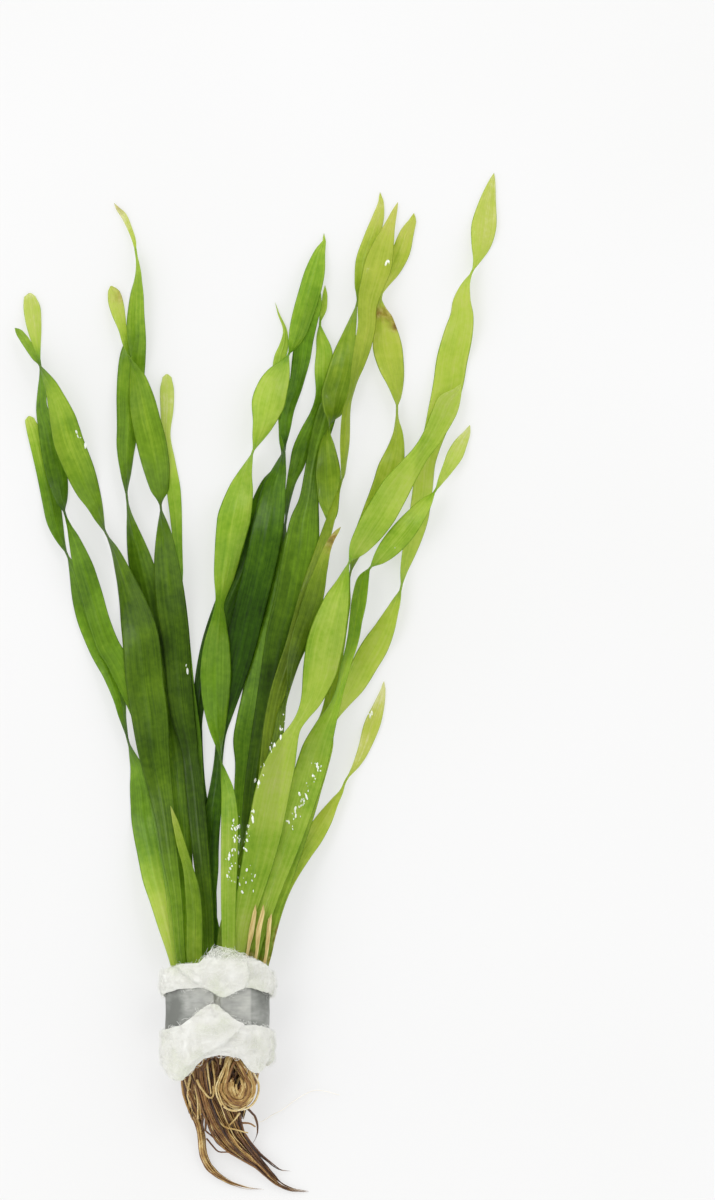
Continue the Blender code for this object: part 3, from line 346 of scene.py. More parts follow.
# The margin is a thin line: browner than pale flesh, which is its own colour, and brighter than deep green
# flesh, which is painted light standing in for light through the thin edge.
margin_tint_and_rim_light = add(tree, MATH, [look["X"], -0.5, 0.13], operation="MULTIPLY_ADD")
for line, strength in ((vein, -0.025), (middle, 0.03), (margin, margin_tint_and_rim_light)):
    tone = add(tree, MATH, [line, strength, tone], operation="MULTIPLY_ADD")
fresh = add(tree, "ShaderNodeValToRGB", [tone], [
    (0, "#1b3602"), (0.15, "#345a08"), (0.3, "#527b13"), (0.45, "#729d23"), (0.6, "#93b439"),
    (0.75, "#b0c457"), (0.9, "#bcc773"), (1, "#ced1a4"),
])
olive = add(tree, "ShaderNodeValToRGB", [tone], [
    (0, "#354206"), (0.15, "#50600b"), (0.3, "#6f7f1e"), (0.45, "#8a9728"), (0.6, "#a4ac39"),
    (0.75, "#b6ba4d"), (0.9, "#c1bd67"), (1, "#d0cca4"),
])
green = add(tree, "ShaderNodeMix", {"Factor": look["Y"], 6: fresh, 7: olive}, data_type="RGBA")
brown = add(tree, "ShaderNodeValToRGB", [fleck], [(0.3, "#6e4f22"), (0.5, "#9c7a3c"), (0.72, "#cfc294")])
patchy = add(tree, MATH, [
    add(tree, MATH, [blotch, 0.5], operation="SUBTRACT"), 1.4, look["Z"],
], operation="MULTIPLY_ADD")
wilt = add(tree, "ShaderNodeMapRange", [patchy, 0.25, 0.6], interpolation_type="SMOOTHSTEP")
wilt = add(tree, MATH, [
    wilt, add(tree, MATH, [look["Z"], 0.02], operation="GREATER_THAN"),
], operation="MULTIPLY")
colour = add(tree, "ShaderNodeMix", {"Factor": wilt, 6: green, 7: brown}, data_type="RGBA")
# Fine ribs between the main veins, drawn at about a millimetre, which is as fine as the picture shows.
rib_at = add(tree, "ShaderNodeCombineXYZ", [
    add(tree, MATH, [reach_mm, 14.0], operation="DIVIDE"),
    add(tree, MATH, [spot["Y"], 14.0], operation="MULTIPLY"),
])
ribs = add(tree, "ShaderNodeTexNoise", {"Vector": rib_at, "Scale": 1.0, "Detail": 2.0})
relief = add(tree, MATH, [vein, 0.5, ribs], operation="MULTIPLY_ADD")
bump = add(tree, "ShaderNodeBump", {"Height": relief, "Strength": 0.35, "Distance": 0.1 * MM})
cuticle = add(tree, "ShaderNodeBsdfPrincipled", {
    "Base Color": colour, "Roughness": 0.36, "Specular IOR Level": 0.22, "Normal": bump, "Coat Weight": 0.16,
    "Coat Roughness": 0.1,
})
lit = add(tree, "ShaderNodeHueSaturation", {"Value": 1.5, "Color": colour})
through = add(tree, "ShaderNodeBsdfTranslucent", {"Color": lit, "Normal": bump})
# Thin flesh lets some light straight through, tinted, so that a leaf beneath shows as a darker shape.
tint = add(tree, "ShaderNodeGamma", {"Color": lit, "Gamma": 0.5})
clear = add(tree, "ShaderNodeBsdfTransparent", {"Color": tint})
passed = add(tree, "ShaderNodeMixShader", [0.5, through, clear])
thin = add(tree, "ShaderNodeMapRange", [tone, 0.0, 1.0, 0.35, 0.65])
add(tree, "ShaderNodeOutputMaterial", [add(tree, "ShaderNodeMixShader", [thin, cuticle, passed])])


def blade_run(name, node, tones, yellow, wilted):
    """A blade's run for the tree: its middle, half width, half thickness, look and reach at each place."""
    rows, tip = rings_of(node)
    middle = (rows[:, 0] + rows[:, 2]) / 2
    side = (rows[:, 0] - rows[:, 2]) / 2
    rise = (rows[:, 1] - rows[:, 3]) / 2
    if name in SPREAD:
        more = np.interp((middle[:, 1] - MOUTH.y) / MM, *zip(*SPREAD[name])) * MM / 2
        wider = side / np.linalg.norm(side, axis=1)[:, None] * more[:, None]
        middle, side = middle + wider * np.sign(side[:, :1]), side + wider
    # The last stretch narrows to the tip.
    ahead, wide, thick = tip - middle[-1], side[-1], rise[-1]
    for part in TIP_PARTS:
        narrow = (1 - part**2.2) ** 0.5 if name in ROUNDED else (1 - part) ** 0.8
        middle = np.vstack([middle, middle[len(rows) - 1] + part * ahead])
        side = np.vstack([side, wide * narrow])
        rise = np.vstack([rise, thick * (1 - part**2) ** 0.5])
    reach = np.concatenate([[0], np.cumsum(np.linalg.norm(np.diff(middle, axis=0), axis=1))])
    up = (middle[:, 1] - MOUTH.y) / MM
    # A blade that stands on edge at a twist is painted a deeper green there: painted shade for a blade seen
    # through its width from above.
    edge_on_painted_shade = np.clip(1 - np.abs(rise[:, 2]) / np.linalg.norm(rise, axis=1) / 0.65, 0, 1)
    brown = np.interp(up, *zip(*wilted), left=0) if wilted else 0 * up
    look = np.column_stack([np.interp(up, *zip(*tones)) - 0.15 * edge_on_painted_shade, np.full(len(up), yellow), brown])
    return run_mesh(name + "_run", [middle], side=side, rise=rise, look=look, reach=reach)


for name, (yellow, tones) in TONES.items():
    run = blade_run(name, nodes[name], tones, yellow, WILTED.get(name))
    piece = grown(name + "_blade", run, blade_tree, Finish=leaf_blade)
    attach(piece, "root")
    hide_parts(name)
    if name.startswith("leaf_right"):
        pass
    elif name in MID_GREEN:
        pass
    else:
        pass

# Water: drops and short films left on the upper leaves, each a flat bead a fraction of a millimetre across,
# drawn out along the blade under it. They lie where the bunch was wettest.
WET = [  # places in mm from the mouth: middle, half length, half width, lean from upright in degrees, beads
    (4.0, 27.5, 8.0, 1.4, -8, 44), (8.0, 33.0, 6.0, 0.5, -14, 18), (21.6, 41.0, 9.0, 1.2, -24, 40),
    (13.2, 52.0, 10.0, 1.0, -22, 22), (39.0, 66.5, 9.0, 1.0, -18, 26), (42.4, 173.5, 1.5, 0.4, 10, 3),
    (-7.8, 72.5, 1.5, 0.4, 10, 4), (-34.2, 129.5, 2.5, 0.5, 30, 6), (6.0, 20.0, 4.0, 3.0, -4, 12),
    (42.0, 96.0, 8.0, 1.2, -25, 8),
]
OVERHEAD = 0.1  # metres up, from where the leaf under a bead is looked for
LEVEL_ENOUGH = 0.75  # the rise of the leaf's normal, under which a bead would run off
grounds = []
for name in TONES:
    blade = bpy.data.objects[name + "_blade"].data
    grounds.append(BVHTree.FromPolygons([v.co for v in blade.vertices], [p.vertices for p in blade.polygons]))
rng = np.random.default_rng(5)
spots, leans, sizes = [], [], []
for x, y, long, wide, lean, count in WET:
    along = Vector((-math.sin(math.radians(lean)), math.cos(math.radians(lean))))
    for _ in range(count):
        a, b = rng.uniform(-1, 1) * long, rng.normal(0, 0.6) * wide
        down_from = Vector((
            MOUTH.x + (x + a * along.x + b * along.y) * MM,
            MOUTH.y + (y + a * along.y - b * along.x) * MM,
            OVERHEAD,
        ))
        hits = [ground.ray_cast(down_from, Vector((0, 0, -1))) for ground in grounds]
        hits = [hit for hit in hits if hit[0]]
        if hits:
            top = max(hits, key=lambda hit: hit[0].z)
            if top[1].z > LEVEL_ENOUGH:
                spots.append(top[0])
                leans.append(tuple(top[1]))
                sizes.append(rng.uniform(0.5, 1.0) ** 2)
drops_tree, given = open_tree("water_beads", Bead=0.3 * MM, Draw_out=3.2, Flatness=0.5, Seed=3, Finish=None)
tree = drops_tree
up = add(tree, "GeometryNodeInputNamedAttribute", {"Name": "up"}, data_type="FLOAT_VECTOR")
amount = add(tree, "GeometryNodeInputNamedAttribute", {"Name": "amount"}, data_type="FLOAT")
turn = add(tree, "FunctionNodeRandomValue", {2: 1.2, 3: 2.1, "Seed": given["Seed"]}, data_type="FLOAT")
turned = add(tree, "FunctionNodeRotateRotation", {
    "Rotation": add(tree, "FunctionNodeAlignRotationToVector", {"Vector": up}, axis="Z"),
    "Rotate By": add(tree, "FunctionNodeEulerToRotation", [add(tree, "ShaderNodeCombineXYZ", {2: turn})]),
}, rotation_space="LOCAL")
next_seed = add(tree, MATH, [given["Seed"], 1.0], operation="ADD")
drawn = add(tree, "FunctionNodeRandomValue", {2: 0.8, 3: given["Draw_out"], "Seed": next_seed},
    data_type="FLOAT")
size = add(tree, "ShaderNodeCombineXYZ", [drawn, 1.0, given["Flatness"]])
placed = add(tree, "GeometryNodeInstanceOnPoints", {
    "Points": given["Geometry"], "Rotation": turned,
    "Instance": add(tree, "GeometryNodeMeshUVSphere", {"Segments": 12, "Rings": 8, "Radius": given["Bead"]}),
    "Scale": add(tree, VECTOR, {0: size, "Scale": amount}, operation="SCALE"),
})
close_tree(tree, placed, given["Finish"])
# Standing water: it shows the leaf through it, and its white colour is a painted highlight for the hard white
# light it throws back.
glint_painted_water, tree = blank_finish("water_painted_glint")
wet = add(tree, "ShaderNodeBsdfPrincipled", {
    "Base Color": linear("#fbfdf8"), "Roughness": 0.06, "Specular IOR Level": 1.0,
})
clear = add(tree, "ShaderNodeBsdfTransparent")
add(tree, "ShaderNodeOutputMaterial", [add(tree, "ShaderNodeMixShader", [0.35, wet, clear])])
bead_spots = run_mesh("bead_spots", [[spot] for spot in spots], up=leans, amount=sizes)
beads = grown("water_beads", bead_spots, drops_tree, Finish=glint_painted_water)
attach(beads, "root")

# Dry sheaths: three brown papery leaf bases that have died back at the right of the mouth.
# Dead leaf tissue: matt, straw to brown, and streaked lengthwise.
dry_leaf, tree = blank_finish("dry_papery_leaf")
spot = add(tree, "ShaderNodeSeparateXYZ", [
    add(tree, "ShaderNodeAttribute", attribute_name="blade_place").node.outputs["Vector"]
]).node.outputs
streak_at = add(tree, "ShaderNodeCombineXYZ", [
    add(tree, MATH, [spot["X"], 6 * MM], operation="DIVIDE"),
    add(tree, MATH, [spot["Y"], 4.0], operation="MULTIPLY"), 1.0,
])
streak = add(tree, "ShaderNodeTexNoise", {"Vector": streak_at, "Scale": 1.0, "Detail": 4.0})
straw = add(tree, "ShaderNodeValToRGB", [streak], [
    (0.3, "#7a6030"), (0.42, "#a98f50"), (0.56, "#cdb978"), (0.75, "#e2d7a4"),
])
bump = add(tree, "ShaderNodeBump", {"Height": streak, "Strength": 0.6, "Distance": 0.15 * MM})
papery = add(tree, "ShaderNodeBsdfPrincipled", {"Base Color": straw, "Roughness": 0.65, "Normal": bump})
add(tree, "ShaderNodeOutputMaterial", [papery])
for name in ("dry_sheath_left", "dry_sheath_middle", "dry_sheath_right"):
    run = blade_run(name, nodes[name], [(0, 0.5), (1, 0.5)], 0.5, None)
    piece = grown(name + "_blade", run, blade_tree, Points_along=60, Points_around=24, Ripple=0.35 * MM,
        Ripple_run=2.5 * MM, Finish=dry_leaf)
    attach(piece, "root")
    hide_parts(name)

# Roots: scores of brown threads a fifth of a millimetre to a millimetre thick, grown from the crowns, matted
# into a mass under the wool and drawn out below it in bundles. Young ones are pale and old ones dark.
strand_tree, given = open_tree(
    "root_strands", Sides=6, Step=0.7 * MM, Wander=0.25 * MM, Wander_run=4.0 * MM, Finish=None,
)
tree = strand_tree
curve = add(tree, "GeometryNodeMeshToCurve", {"Mesh": given["Geometry"]})
curve = add(tree, "GeometryNodeCurveSplineType", {"Curve": curve}, spline_type="CATMULL_ROM")
curve = add(tree, "GeometryNodeResampleCurve", {"Curve": curve, "Length": given["Step"]}, mode="LENGTH")
shade, thick = (
    add(tree, "GeometryNodeInputNamedAttribute", {"Name": name}, data_type="FLOAT")
    for name in ("shade", "thick")
)
# Each thread wanders by a noise of its own, set apart from the others' by its shade.
apart = add(tree, "ShaderNodeCombineXYZ", [
    add(tree, MATH, [shade, 37.0], operation="MULTIPLY"), 0.0,
    add(tree, MATH, [shade, 91.0], operation="MULTIPLY"),
])
here = add(tree, VECTOR, {
    0: add(tree, "GeometryNodeInputPosition"),
    "Scale": add(tree, MATH, [1.0, given["Wander_run"]], operation="DIVIDE"),
}, operation="SCALE")
noise_at = add(tree, VECTOR, [here, apart], operation="ADD")
drift = add(tree, "ShaderNodeTexNoise", {"Vector": noise_at, "Scale": 1.0, "Detail": 1.0})
drift = add(tree, VECTOR, {
    0: add(tree, VECTOR, [drift.node.outputs["Color"], (-0.5, -0.5, -0.5)], operation="ADD"),
    "Scale": add(tree, MATH, [given["Wander"], 2.0], operation="MULTIPLY"),
}, operation="SCALE")
curve = add(tree, "GeometryNodeSetPosition", {"Geometry": curve, "Offset": drift})
section = add(tree, "GeometryNodeCurvePrimitiveCircle", {"Resolution": given["Sides"], "Radius": 1.0})
tube = add(tree, "GeometryNodeCurveToMesh", {
    "Curve": curve, "Profile Curve": section, "Scale": thick, "Fill Caps": True,
})
close_tree(tree, tube, given["Finish"])

# Root skin: matt and slightly fibrous, from pale straw to dark brown, blotched along its length.
root_skin, tree = blank_finish("root_skin")
shade = add(tree, "ShaderNodeAttribute", attribute_name="shade").node.outputs["Fac"]
where = add(tree, "ShaderNodeTexCoord").node.outputs["Object"]
patch = add(tree, "ShaderNodeTexNoise", {"Vector": where, "Scale": 0.35 / MM, "Detail": 3.0})
grit = add(tree, "ShaderNodeTexNoise", {"Vector": where, "Scale": 3.0 / MM, "Detail": 2.0})
tone = shade
for pattern, strength in ((patch, 0.6), (grit, 0.25)):
    swing = add(tree, MATH, [pattern, 0.5], operation="SUBTRACT")
    tone = add(tree, MATH, [swing, strength, tone], operation="MULTIPLY_ADD")
brown = add(tree, "ShaderNodeValToRGB", [tone], [
    (0.0, "#2b1607"), (0.25, "#573312"), (0.5, "#845c27"), (0.7, "#ac8c4c"), (0.85, "#cdb67c"),
    (0.94, "#dccc9e"), (1.0, "#f0eadc"),
])
bump = add(tree, "ShaderNodeBump", {"Height": grit, "Strength": 0.5, "Distance": 0.08 * MM})
skin = add(tree, "ShaderNodeBsdfPrincipled", {
    "Base Color": brown, "Roughness": 0.55, "Normal": bump, "Coat Weight": 0.15, "Coat Roughness": 0.25,
})
add(tree, "ShaderNodeOutputMaterial", [skin])
# Under the threads the mass is a darker brown, grained along its length.
mat_inside, tree = blank_finish("root_mat_inside")
where = add(tree, "ShaderNodeTexCoord").node.outputs["Object"]
strands = add(tree, "ShaderNodeMapping", {"Vector": where, "Scale": (1.6, 0.35, 1.6)})
grain = add(tree, "ShaderNodeTexNoise", {"Vector": strands, "Scale": 1.4 / MM, "Detail": 3.0})
dark = add(tree, "ShaderNodeValToRGB", [grain], [(0.35, "#2d1c0d"), (0.5, "#50351a"), (0.68, "#7a5a33")])
bump = add(tree, "ShaderNodeBump", {"Height": grain, "Strength": 0.8, "Distance": 0.3 * MM})
matted = add(tree, "ShaderNodeBsdfPrincipled", {"Base Color": dark, "Roughness": 0.7, "Normal": bump})
add(tree, "ShaderNodeOutputMaterial", [matted])

CLEAR = 0.25  # mm between a thread's course and the table, besides its own half thickness
PALEST = 0.8  # the palest shade of a thread among others


def at_mouth(points):
    """Points in mm from the wool's mouth, as metres in the frame."""
    return np.asarray(points, float) * MM + np.array([MOUTH.x, MOUTH.y, 0])


def smooth_between(table, at):
    """Rows of the table's values at shares of its length, eased between its places."""
    table = np.asarray(table, float)
    along = np.concatenate([[0], np.cumsum(np.linalg.norm(np.diff(table[:, :2], axis=0), axis=1))])
    return np.column_stack([np.interp(np.asarray(at) * along[-1], along, column) for column in table.T])


def bundle(table, count, rng, thread, flat=1.0, turns=0.5, pale=0.5, stagger=0.25, spread=0.85):
    """Threads that run together along a path of (x, y, height, width), each on its own course inside it."""
    lines, thick, shade = [], [], []
    for _ in range(count):
        start, end = rng.uniform(0, 0.06), 1 - rng.uniform(0, stagger) ** 1.5
        at = np.linspace(start, end, 16)
        path = smooth_between(table, at)
        angle = rng.uniform(0, 2 * math.pi) + turns * rng.uniform(-1, 1) * 2 * math.pi * at
        out = spread * rng.uniform(0.15, 1) ** 0.5 * path[:, 3] / 2
        ahead = np.gradient(path[:, :2], axis=0)
        ahead /= np.linalg.norm(ahead, axis=1)[:, None]
        # A thread thins all the way down, and to a point over the last quarter of its own length.
        thinned = np.clip(1.15 - at, 0.25, 1)
        pointed = np.clip((1 - (at - start) / (end - start)) * 4 + 0.15, 0, 1)
        size = thread * rng.uniform(0.6, 1.3) * thinned * pointed
        x = path[:, 0] + out * np.cos(angle) * ahead[:, 1]
        y = path[:, 1] - out * np.cos(angle) * ahead[:, 0]
        z = np.maximum(path[:, 2] + flat * out * np.sin(angle), size / 2 + CLEAR)
        lines.append(at_mouth(np.column_stack([x, y, z])))
        thick += list(size / 2 * MM)
        shade += [np.clip(rng.normal(pale, 0.22), 0, PALEST)] * len(at)
    return lines, thick, shade


def free_thread(points, size, shade, tip=0.6):
    """One thread through places in mm, thinning a little towards its tip."""
    points = np.asarray(points, float)
    return [at_mouth(points)], list(np.linspace(1, tip, len(points)) * size / 2 * MM), [shade] * len(points)


def root_piece(name, parts, replaced, sides=6, wander=0.25, wander_run=4.0):
    """A piece of root strands from the lines, thicknesses and shades of its parts."""
    lines, thick, shade = ([item for part in parts for item in part[i]] for i in range(3))
    run = run_mesh(name + "_run", lines, thick=thick, shade=shade)
    piece = grown(name, run, strand_tree, Sides=sides, Wander=wander * MM, Wander_run=wander_run * MM,
        Finish=root_skin)
    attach(piece, "root")
    if replaced:
        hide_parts(*replaced)


# Paths of (x, y, height, width) in mm from the mouth.
ROOTS_LEFT = [
    (-7.0, -27.0, 7.0, 2.6), (-6.9, -30.0, 5.6, 3.0), (-6.3, -33.0, 4.8, 3.1), (-5.6, -38.8, 3.4, 2.5),
    (-4.7, -41.5, 3.0, 2.2), (-4.1, -44.5, 2.6, 2.1), (-3.9, -48, 2.2, 2.1), (-3.2, -50.4, 1.9, 2.2),
    (-1.9, -52.6, 1.5, 2.1), (1, -55, 1.2, 1.7), (4.4, -56.6, 0.9, 1.2), (7.9, -57.5, 0.7, 0.9),
    (11.7, -57.9, 0.5, 0.4),
]
ROOTS_MIDDLE = [
    (0.3, -34.5, 4.8, 9.6), (1.0, -39.4, 3.8, 9.2), (1.4, -41.2, 3.6, 9.1), (2.5, -43.8, 3.4, 8.6),
    (4.7, -46.6, 2.9, 7.0), (7.9, -49.4, 2.4, 4.6), (10.3, -51.6, 2.0, 3.1), (12.9, -54.4, 1.5, 2.5),
    (15.4, -56.6, 1.1, 1.8), (18.4, -57.9, 0.7, 1.1), (22.6, -58.4, 0.5, 0.4),
]
OVER_MASS = [
    (-2.6, -25.5, 11.4, 8.0), (-2.4, -30.5, 10.6, 7.6), (-1.2, -35.5, 8.8, 7.8), (0.8, -40.5, 6.8, 8.2),
    (3.4, -45.0, 5.0, 6.6), (6.8, -48.4, 3.6, 4.6), (10.0, -51.4, 2.6, 2.8),
]
ROOT_SIDE = [
    (5.0, -42.0, 3.6, 0.8), (8.0, -46.0, 2.8, 0.8), (10.3, -48.8, 2.3, 0.9), (12.3, -50.7, 1.9, 0.9),
    (14.1, -52.2, 1.5, 0.8), (15.8, -53.1, 1.1, 0.7), (19.2, -53.2, 0.6, 0.4),
]
ROOT_LOOP = [
    (5.5, -35.0, 7.0, 0.8), (8, -37.9, 4.4, 0.8), (9.3, -39.4, 3.8, 0.9), (9.9, -41.5, 3.2, 0.9),
    (9.8, -43.8, 2.6, 0.9), (9.2, -45.2, 2.6, 0.8), (8.3, -46.6, 2.8, 0.8),
]
ROOT_HAIR = [
    (8.5, -39.5, 3.0), (10.6, -40.8, 1.2), (15.5, -38.2, 0.8), (20.5, -34.6, 0.6), (25, -33.1, 0.5),
    (30.5, -34.2, 0.5),
]
rng = np.random.default_rng(41)
left = bundle(ROOTS_LEFT, 24, rng, 0.62, turns=0.2, pale=0.6, stagger=0.55)
root_piece("roots_left_strands", [left], ["roots_left"])
middle = bundle(ROOTS_MIDDLE, 74, rng, 0.62, flat=0.6, turns=0.3, pale=0.45, stagger=0.75)
over_mass = bundle(OVER_MASS, 44, rng, 0.5, flat=0.15, turns=0.15, pale=0.42, stagger=0.6)
root_piece("roots_middle_strands", [middle, over_mass], ["roots_middle"])
root_piece("root_side_strands", [bundle(ROOT_SIDE, 3, rng, 0.6, pale=0.5)], ["root_side"])
root_piece("root_hair_strand", [free_thread(ROOT_HAIR, 0.2, 1.3)], ["root_hair"], wander=0.5, wander_run=5.0)
root_piece("root_loop_strands", [bundle(ROOT_LOOP, 2, rng, 0.6, pale=0.3, stagger=0.02)], ["root_loop"])

# The mass: threads that run down over its solid, which stays under them as the dark inside of the mat.
ROOT_MASS = [  # middle x, y and height, then half width and half height, in mm
    (-0.3, -17.5, 9.4, 7.2, 4.2), (0.2, -23, 9.0, 8.4, 4.0), (0.4, -27.5, 7.7, 8.9, 3.6),
    (0.3, -31, 6.6, 8.4, 3.4), (-0.1, -34, 5.6, 7.6, 3.2), (-0.3, -36.4, 4.8, 6.9, 2.9),
    (-0.2, -40.5, 4.2, 6.0, 2.5),
]
SINGLE = [  # threads that the photo shows apart: places in mm, thickness in mm and shade
    ([(-5, -30.0, 11.6), (-4.4, -31.5, 11.4), (-3.4, -33, 10.4), (-2.2, -34.3, 9.8), (-1.2, -34.4, 9.9),
      (-0.9, -33, 10.6), (-1.0, -31.5, 11.4)], 0.7, 0.75),
    ([(-0.5, -39.2, 6.9), (1, -41.3, 6.4), (2.6, -42.2, 6.3), (4.4, -42.6, 6.2),
      (7.5, -43.4, 5.2)], 0.6, 0.75),
    ([(5.5, -38.4, 7.6), (4.4, -40, 7.2), (3, -41.5, 6.8)], 0.6, 0.8),
    ([(6.2, -41, 5.6), (8, -41.1, 5.0), (9.3, -42, 4.0)], 0.6, 0.5),
    ([(-3, -43, 3.8), (-0.7, -45, 4.2), (1.7, -46.8, 3.8)], 0.5, 0.25),
    ([(-2.8, -45, 3.4), (-0.2, -48, 2.8), (2.8, -48.5, 2.9), (5.0, -49.4, 2.6)], 0.5, 0.3),
    ([(12.9, -53.0, 1.6), (13.4, -54.4, 1.3), (12.9, -55.6, 0.9)], 0.4, 0.5),
    ([(-2.6, -25.0, 12.3), (-2.4, -28, 12.0), (-1.9, -31, 11.4), (-1.6, -33.5, 10.4)], 0.6, 0.8),
    ([(-1.4, -24.5, 12.4), (-0.9, -28, 12.2), (-0.6, -31, 11.5), (-0.7, -33.4, 10.5)], 0.6, 0.75),
    ([(-5.8, -31.0, 9.0), (-5.1, -34, 8.6), (-4.9, -37, 7.5), (-5.0, -40, 6.4)], 0.65, 0.8),
    ([(-4.8, -33.0, 9.4), (-4.3, -36, 8.2), (-4.3, -39, 6.8)], 0.6, 0.75),
    ([(-3.2, -36.0, 6.5), (-3.6, -39, 5.0), (-3.9, -42, 3.6), (-3.8, -44.5, 2.6)], 0.9, 0.25),
    ([(-2.4, -37.0, 6.0), (-2.9, -40, 4.6), (-3.1, -43, 3.2)], 0.9, 0.3),
    ([(4.8, -36.5, 7.4), (5.6, -39.5, 5.6), (6.1, -42, 4.6), (6.9, -44.5, 3.8)], 0.9, 0.3),
    ([(3.8, -37.5, 6.8), (4.6, -40.5, 5.4), (5.4, -43, 4.4)], 0.9, 0.35),
]


def mat_threads(count, rng, thread, pale, angles, ends=(0.75, 1.0)):
    """Threads down the mass, each keeping near one side of it while it wanders."""
    lines, thick, shade = [], [], []
    for _ in range(count):
        at = np.linspace(rng.uniform(0, 0.2), rng.uniform(*ends), 14)
        path = smooth_between(ROOT_MASS, at)
        turn = np.radians(rng.uniform(*angles)) + rng.normal(0, 0.25) * (at - 0.5)
        turn = turn + 0.18 * np.sin(at * rng.uniform(5, 12) + rng.uniform(0, 6))
        out = rng.uniform(1.0, 1.12)
        size = thread * rng.uniform(0.6, 1.35)
        x = path[:, 0] + out * path[:, 3] * np.cos(turn)
        z = np.maximum(path[:, 2] + out * path[:, 4] * np.sin(turn), size / 2 + CLEAR)
        lines.append(at_mouth(np.column_stack([x, path[:, 1], z])))
        thick += list(size / 2 * MM * np.interp(at, [at[-1] - 0.25, at[-1]], [1, 0.25]))
        shade += [np.clip(rng.normal(pale, 0.22), 0, PALEST)] * len(at)
    return lines, thick, shade


left_side = mat_threads(46, rng, 0.55, 0.5, (120, 190), ends=(0.9, 1.0))
top_side = mat_threads(90, rng, 0.55, 0.4, (-12, 130))
under = mat_threads(40, rng, 0.8, 0.35, (185, 385))
single = [free_thread(*thread) for thread in SINGLE]
root_piece("root_mass_strands", [left_side, top_side, under, *single], [], sides=5, wander=0.22)
nodes["root_mass"].data.materials.clear()
nodes["root_mass"].data.materials.append(mat_inside)

# The coil: long young roots wound round on top of the mass, one loop inside another, some open at the top.
COIL, INNER_FROM = 46, 30  # threads in all, and the first of those that lie inside the ring
coil_x, coil_y, coil_z = 5.0, -31.4, 11.7  # the middle of its ring, in mm from the mouth
lines, thick, shade = [], [], []
for k in range(COIL):
    inner = k >= INNER_FROM
    rim = rng.uniform(-3.0, -1.3) if inner else rng.uniform(-1.45, 1.15)
    lift = 0.1 if inner else rng.uniform(-0.9, 1.0) * math.sqrt(max(0.05, 1 - (rim / 1.5) ** 2))
    turn = np.linspace(-math.pi * rng.uniform(0.4, 0.62), math.pi * rng.uniform(0.4, 0.62), 22) - math.pi / 2
    if not inner and k % 3:
        turn = np.linspace(0, 2 * math.pi * rng.uniform(0.7, 1.0), 22) + rng.uniform(0, 2 * math.pi)
    shift, lean = rng.normal(0, 0.4 if inner else 0.25, 2), rng.normal(0, 0.2 if inner else 0.12)
    pinch, drawn_up = rng.uniform(0.25, 0.6), rng.uniform(0.25, 0.9)
    wide, long = 3.5 + rim + rng.normal(0, 0.15), 4.9 + 0.8 * rim + rng.normal(0, 0.3)
    upper = np.maximum(np.sin(turn), 0)
    x = coil_x + shift[0] + wide * np.cos(turn) * (1 - pinch * upper)
    y = coil_y + shift[1] + long * np.sin(turn) * (1 + drawn_up * upper)
    x, y = x + lean * (y - coil_y), y - lean * (x - coil_x)
    # It leans up against the wool, and flattens where it goes under it.
    z = coil_z + lift + 0.33 * (np.minimum(y, -26.5) + 31.6)
    lines.append(at_mouth(np.column_stack([x, y, z])))
    thick += [rng.uniform(0.34, 0.62) / 2 * MM] * len(turn)
    shade += [np.clip(rng.normal(0.76 if inner else 0.58, 0.2), 0, 0.86)] * len(turn)
root_piece("root_coil_strands", [(lines, thick, shade)], ["root_coil"], wander=0.2, wander_run=3.0)


# Wool: a white polyester filter mat, soft and slightly shiny, wrapped in two turns round the stems.
# It is squeezed under the strip, swells above and below it, and its loose layers fold over the strip.
# Where one layer of the mat ends over another: (x, y) in mm from the mouth, the upper layer on the left.
LAYER_EDGES = [
    [(-6.5, -26.0), (-2.5, -23.0), (1.5, -21.0), (5.0, -18.0), (7.0, -15.5)],
    [(-8.8, -3.0), (-5.5, -5.5), (-3.0, -6.8)],
    [(6.5, -7.5), (8.0, -4.3), (7.5, -1.0)],
]
EDGE_SOFT, EDGE_FADE = 0.25, 2.2  # mm over which an edge steps down, and over which the step then dies away
WOOL_AXIS = 9.6  # mm up: the middle of the wrap
ON_TABLE = 0.02 * MM


def merged_copy(node, name):
    """The node's skin as one closed mesh of quads where it can be."""
    body = bmesh.new()
    body.from_mesh(node.data)
    bmesh.ops.remove_doubles(body, verts=body.verts, dist=2e-6)
    bmesh.ops.join_triangles(body, faces=body.faces, angle_face_threshold=3.1, angle_shape_threshold=3.1)
    mesh = bpy.data.meshes.new(name)
    body.to_mesh(mesh)
    body.free()
    piece = bpy.data.objects.new(name, mesh)
    bpy.context.scene.collection.objects.link(piece)
    return piece


def reshaped(piece, move):
    """Moves each point of the piece along its normal by what `move` gives for its place, in mm."""
    mesh = piece.data
    places, normals = (np.empty(len(mesh.vertices) * 3) for _ in range(2))
    mesh.vertices.foreach_get("co", places)
    mesh.vertices.foreach_get("normal", normals)
    places, normals = places.reshape(-1, 3), normals.reshape(-1, 3)
    places += normals * np.array([move(Vector(place) / MM) * MM for place in places])[:, None]
    places[:, 2] = np.maximum(places[:, 2], ON_TABLE)
    mesh.vertices.foreach_set("co", places.ravel())
    mesh.polygons.foreach_set("use_smooth", [True] * len(mesh.polygons))
    mesh.update()


def stepped(x, y, edge):
    """From 0.5 on the left of an edge to -0.5 on its right, fading away from it and past its ends."""
    here, best = Vector((x, y)), None
    for a, b in zip(edge, edge[1:]):
        a, b = Vector(a), Vector(b)
        share = min(1.0, max(0.0, (here - a).dot(b - a) / (b - a).length_squared))
        gap = here - (a + share * (b - a))
        if best is None or gap.length < best[0]:
            best = gap.length, (b - a).x * gap.y - (b - a).y * gap.x
    return math.copysign(0.5, best[1]) * min(1.0, best[0] / EDGE_SOFT) * math.exp(-best[0] / EDGE_FADE)


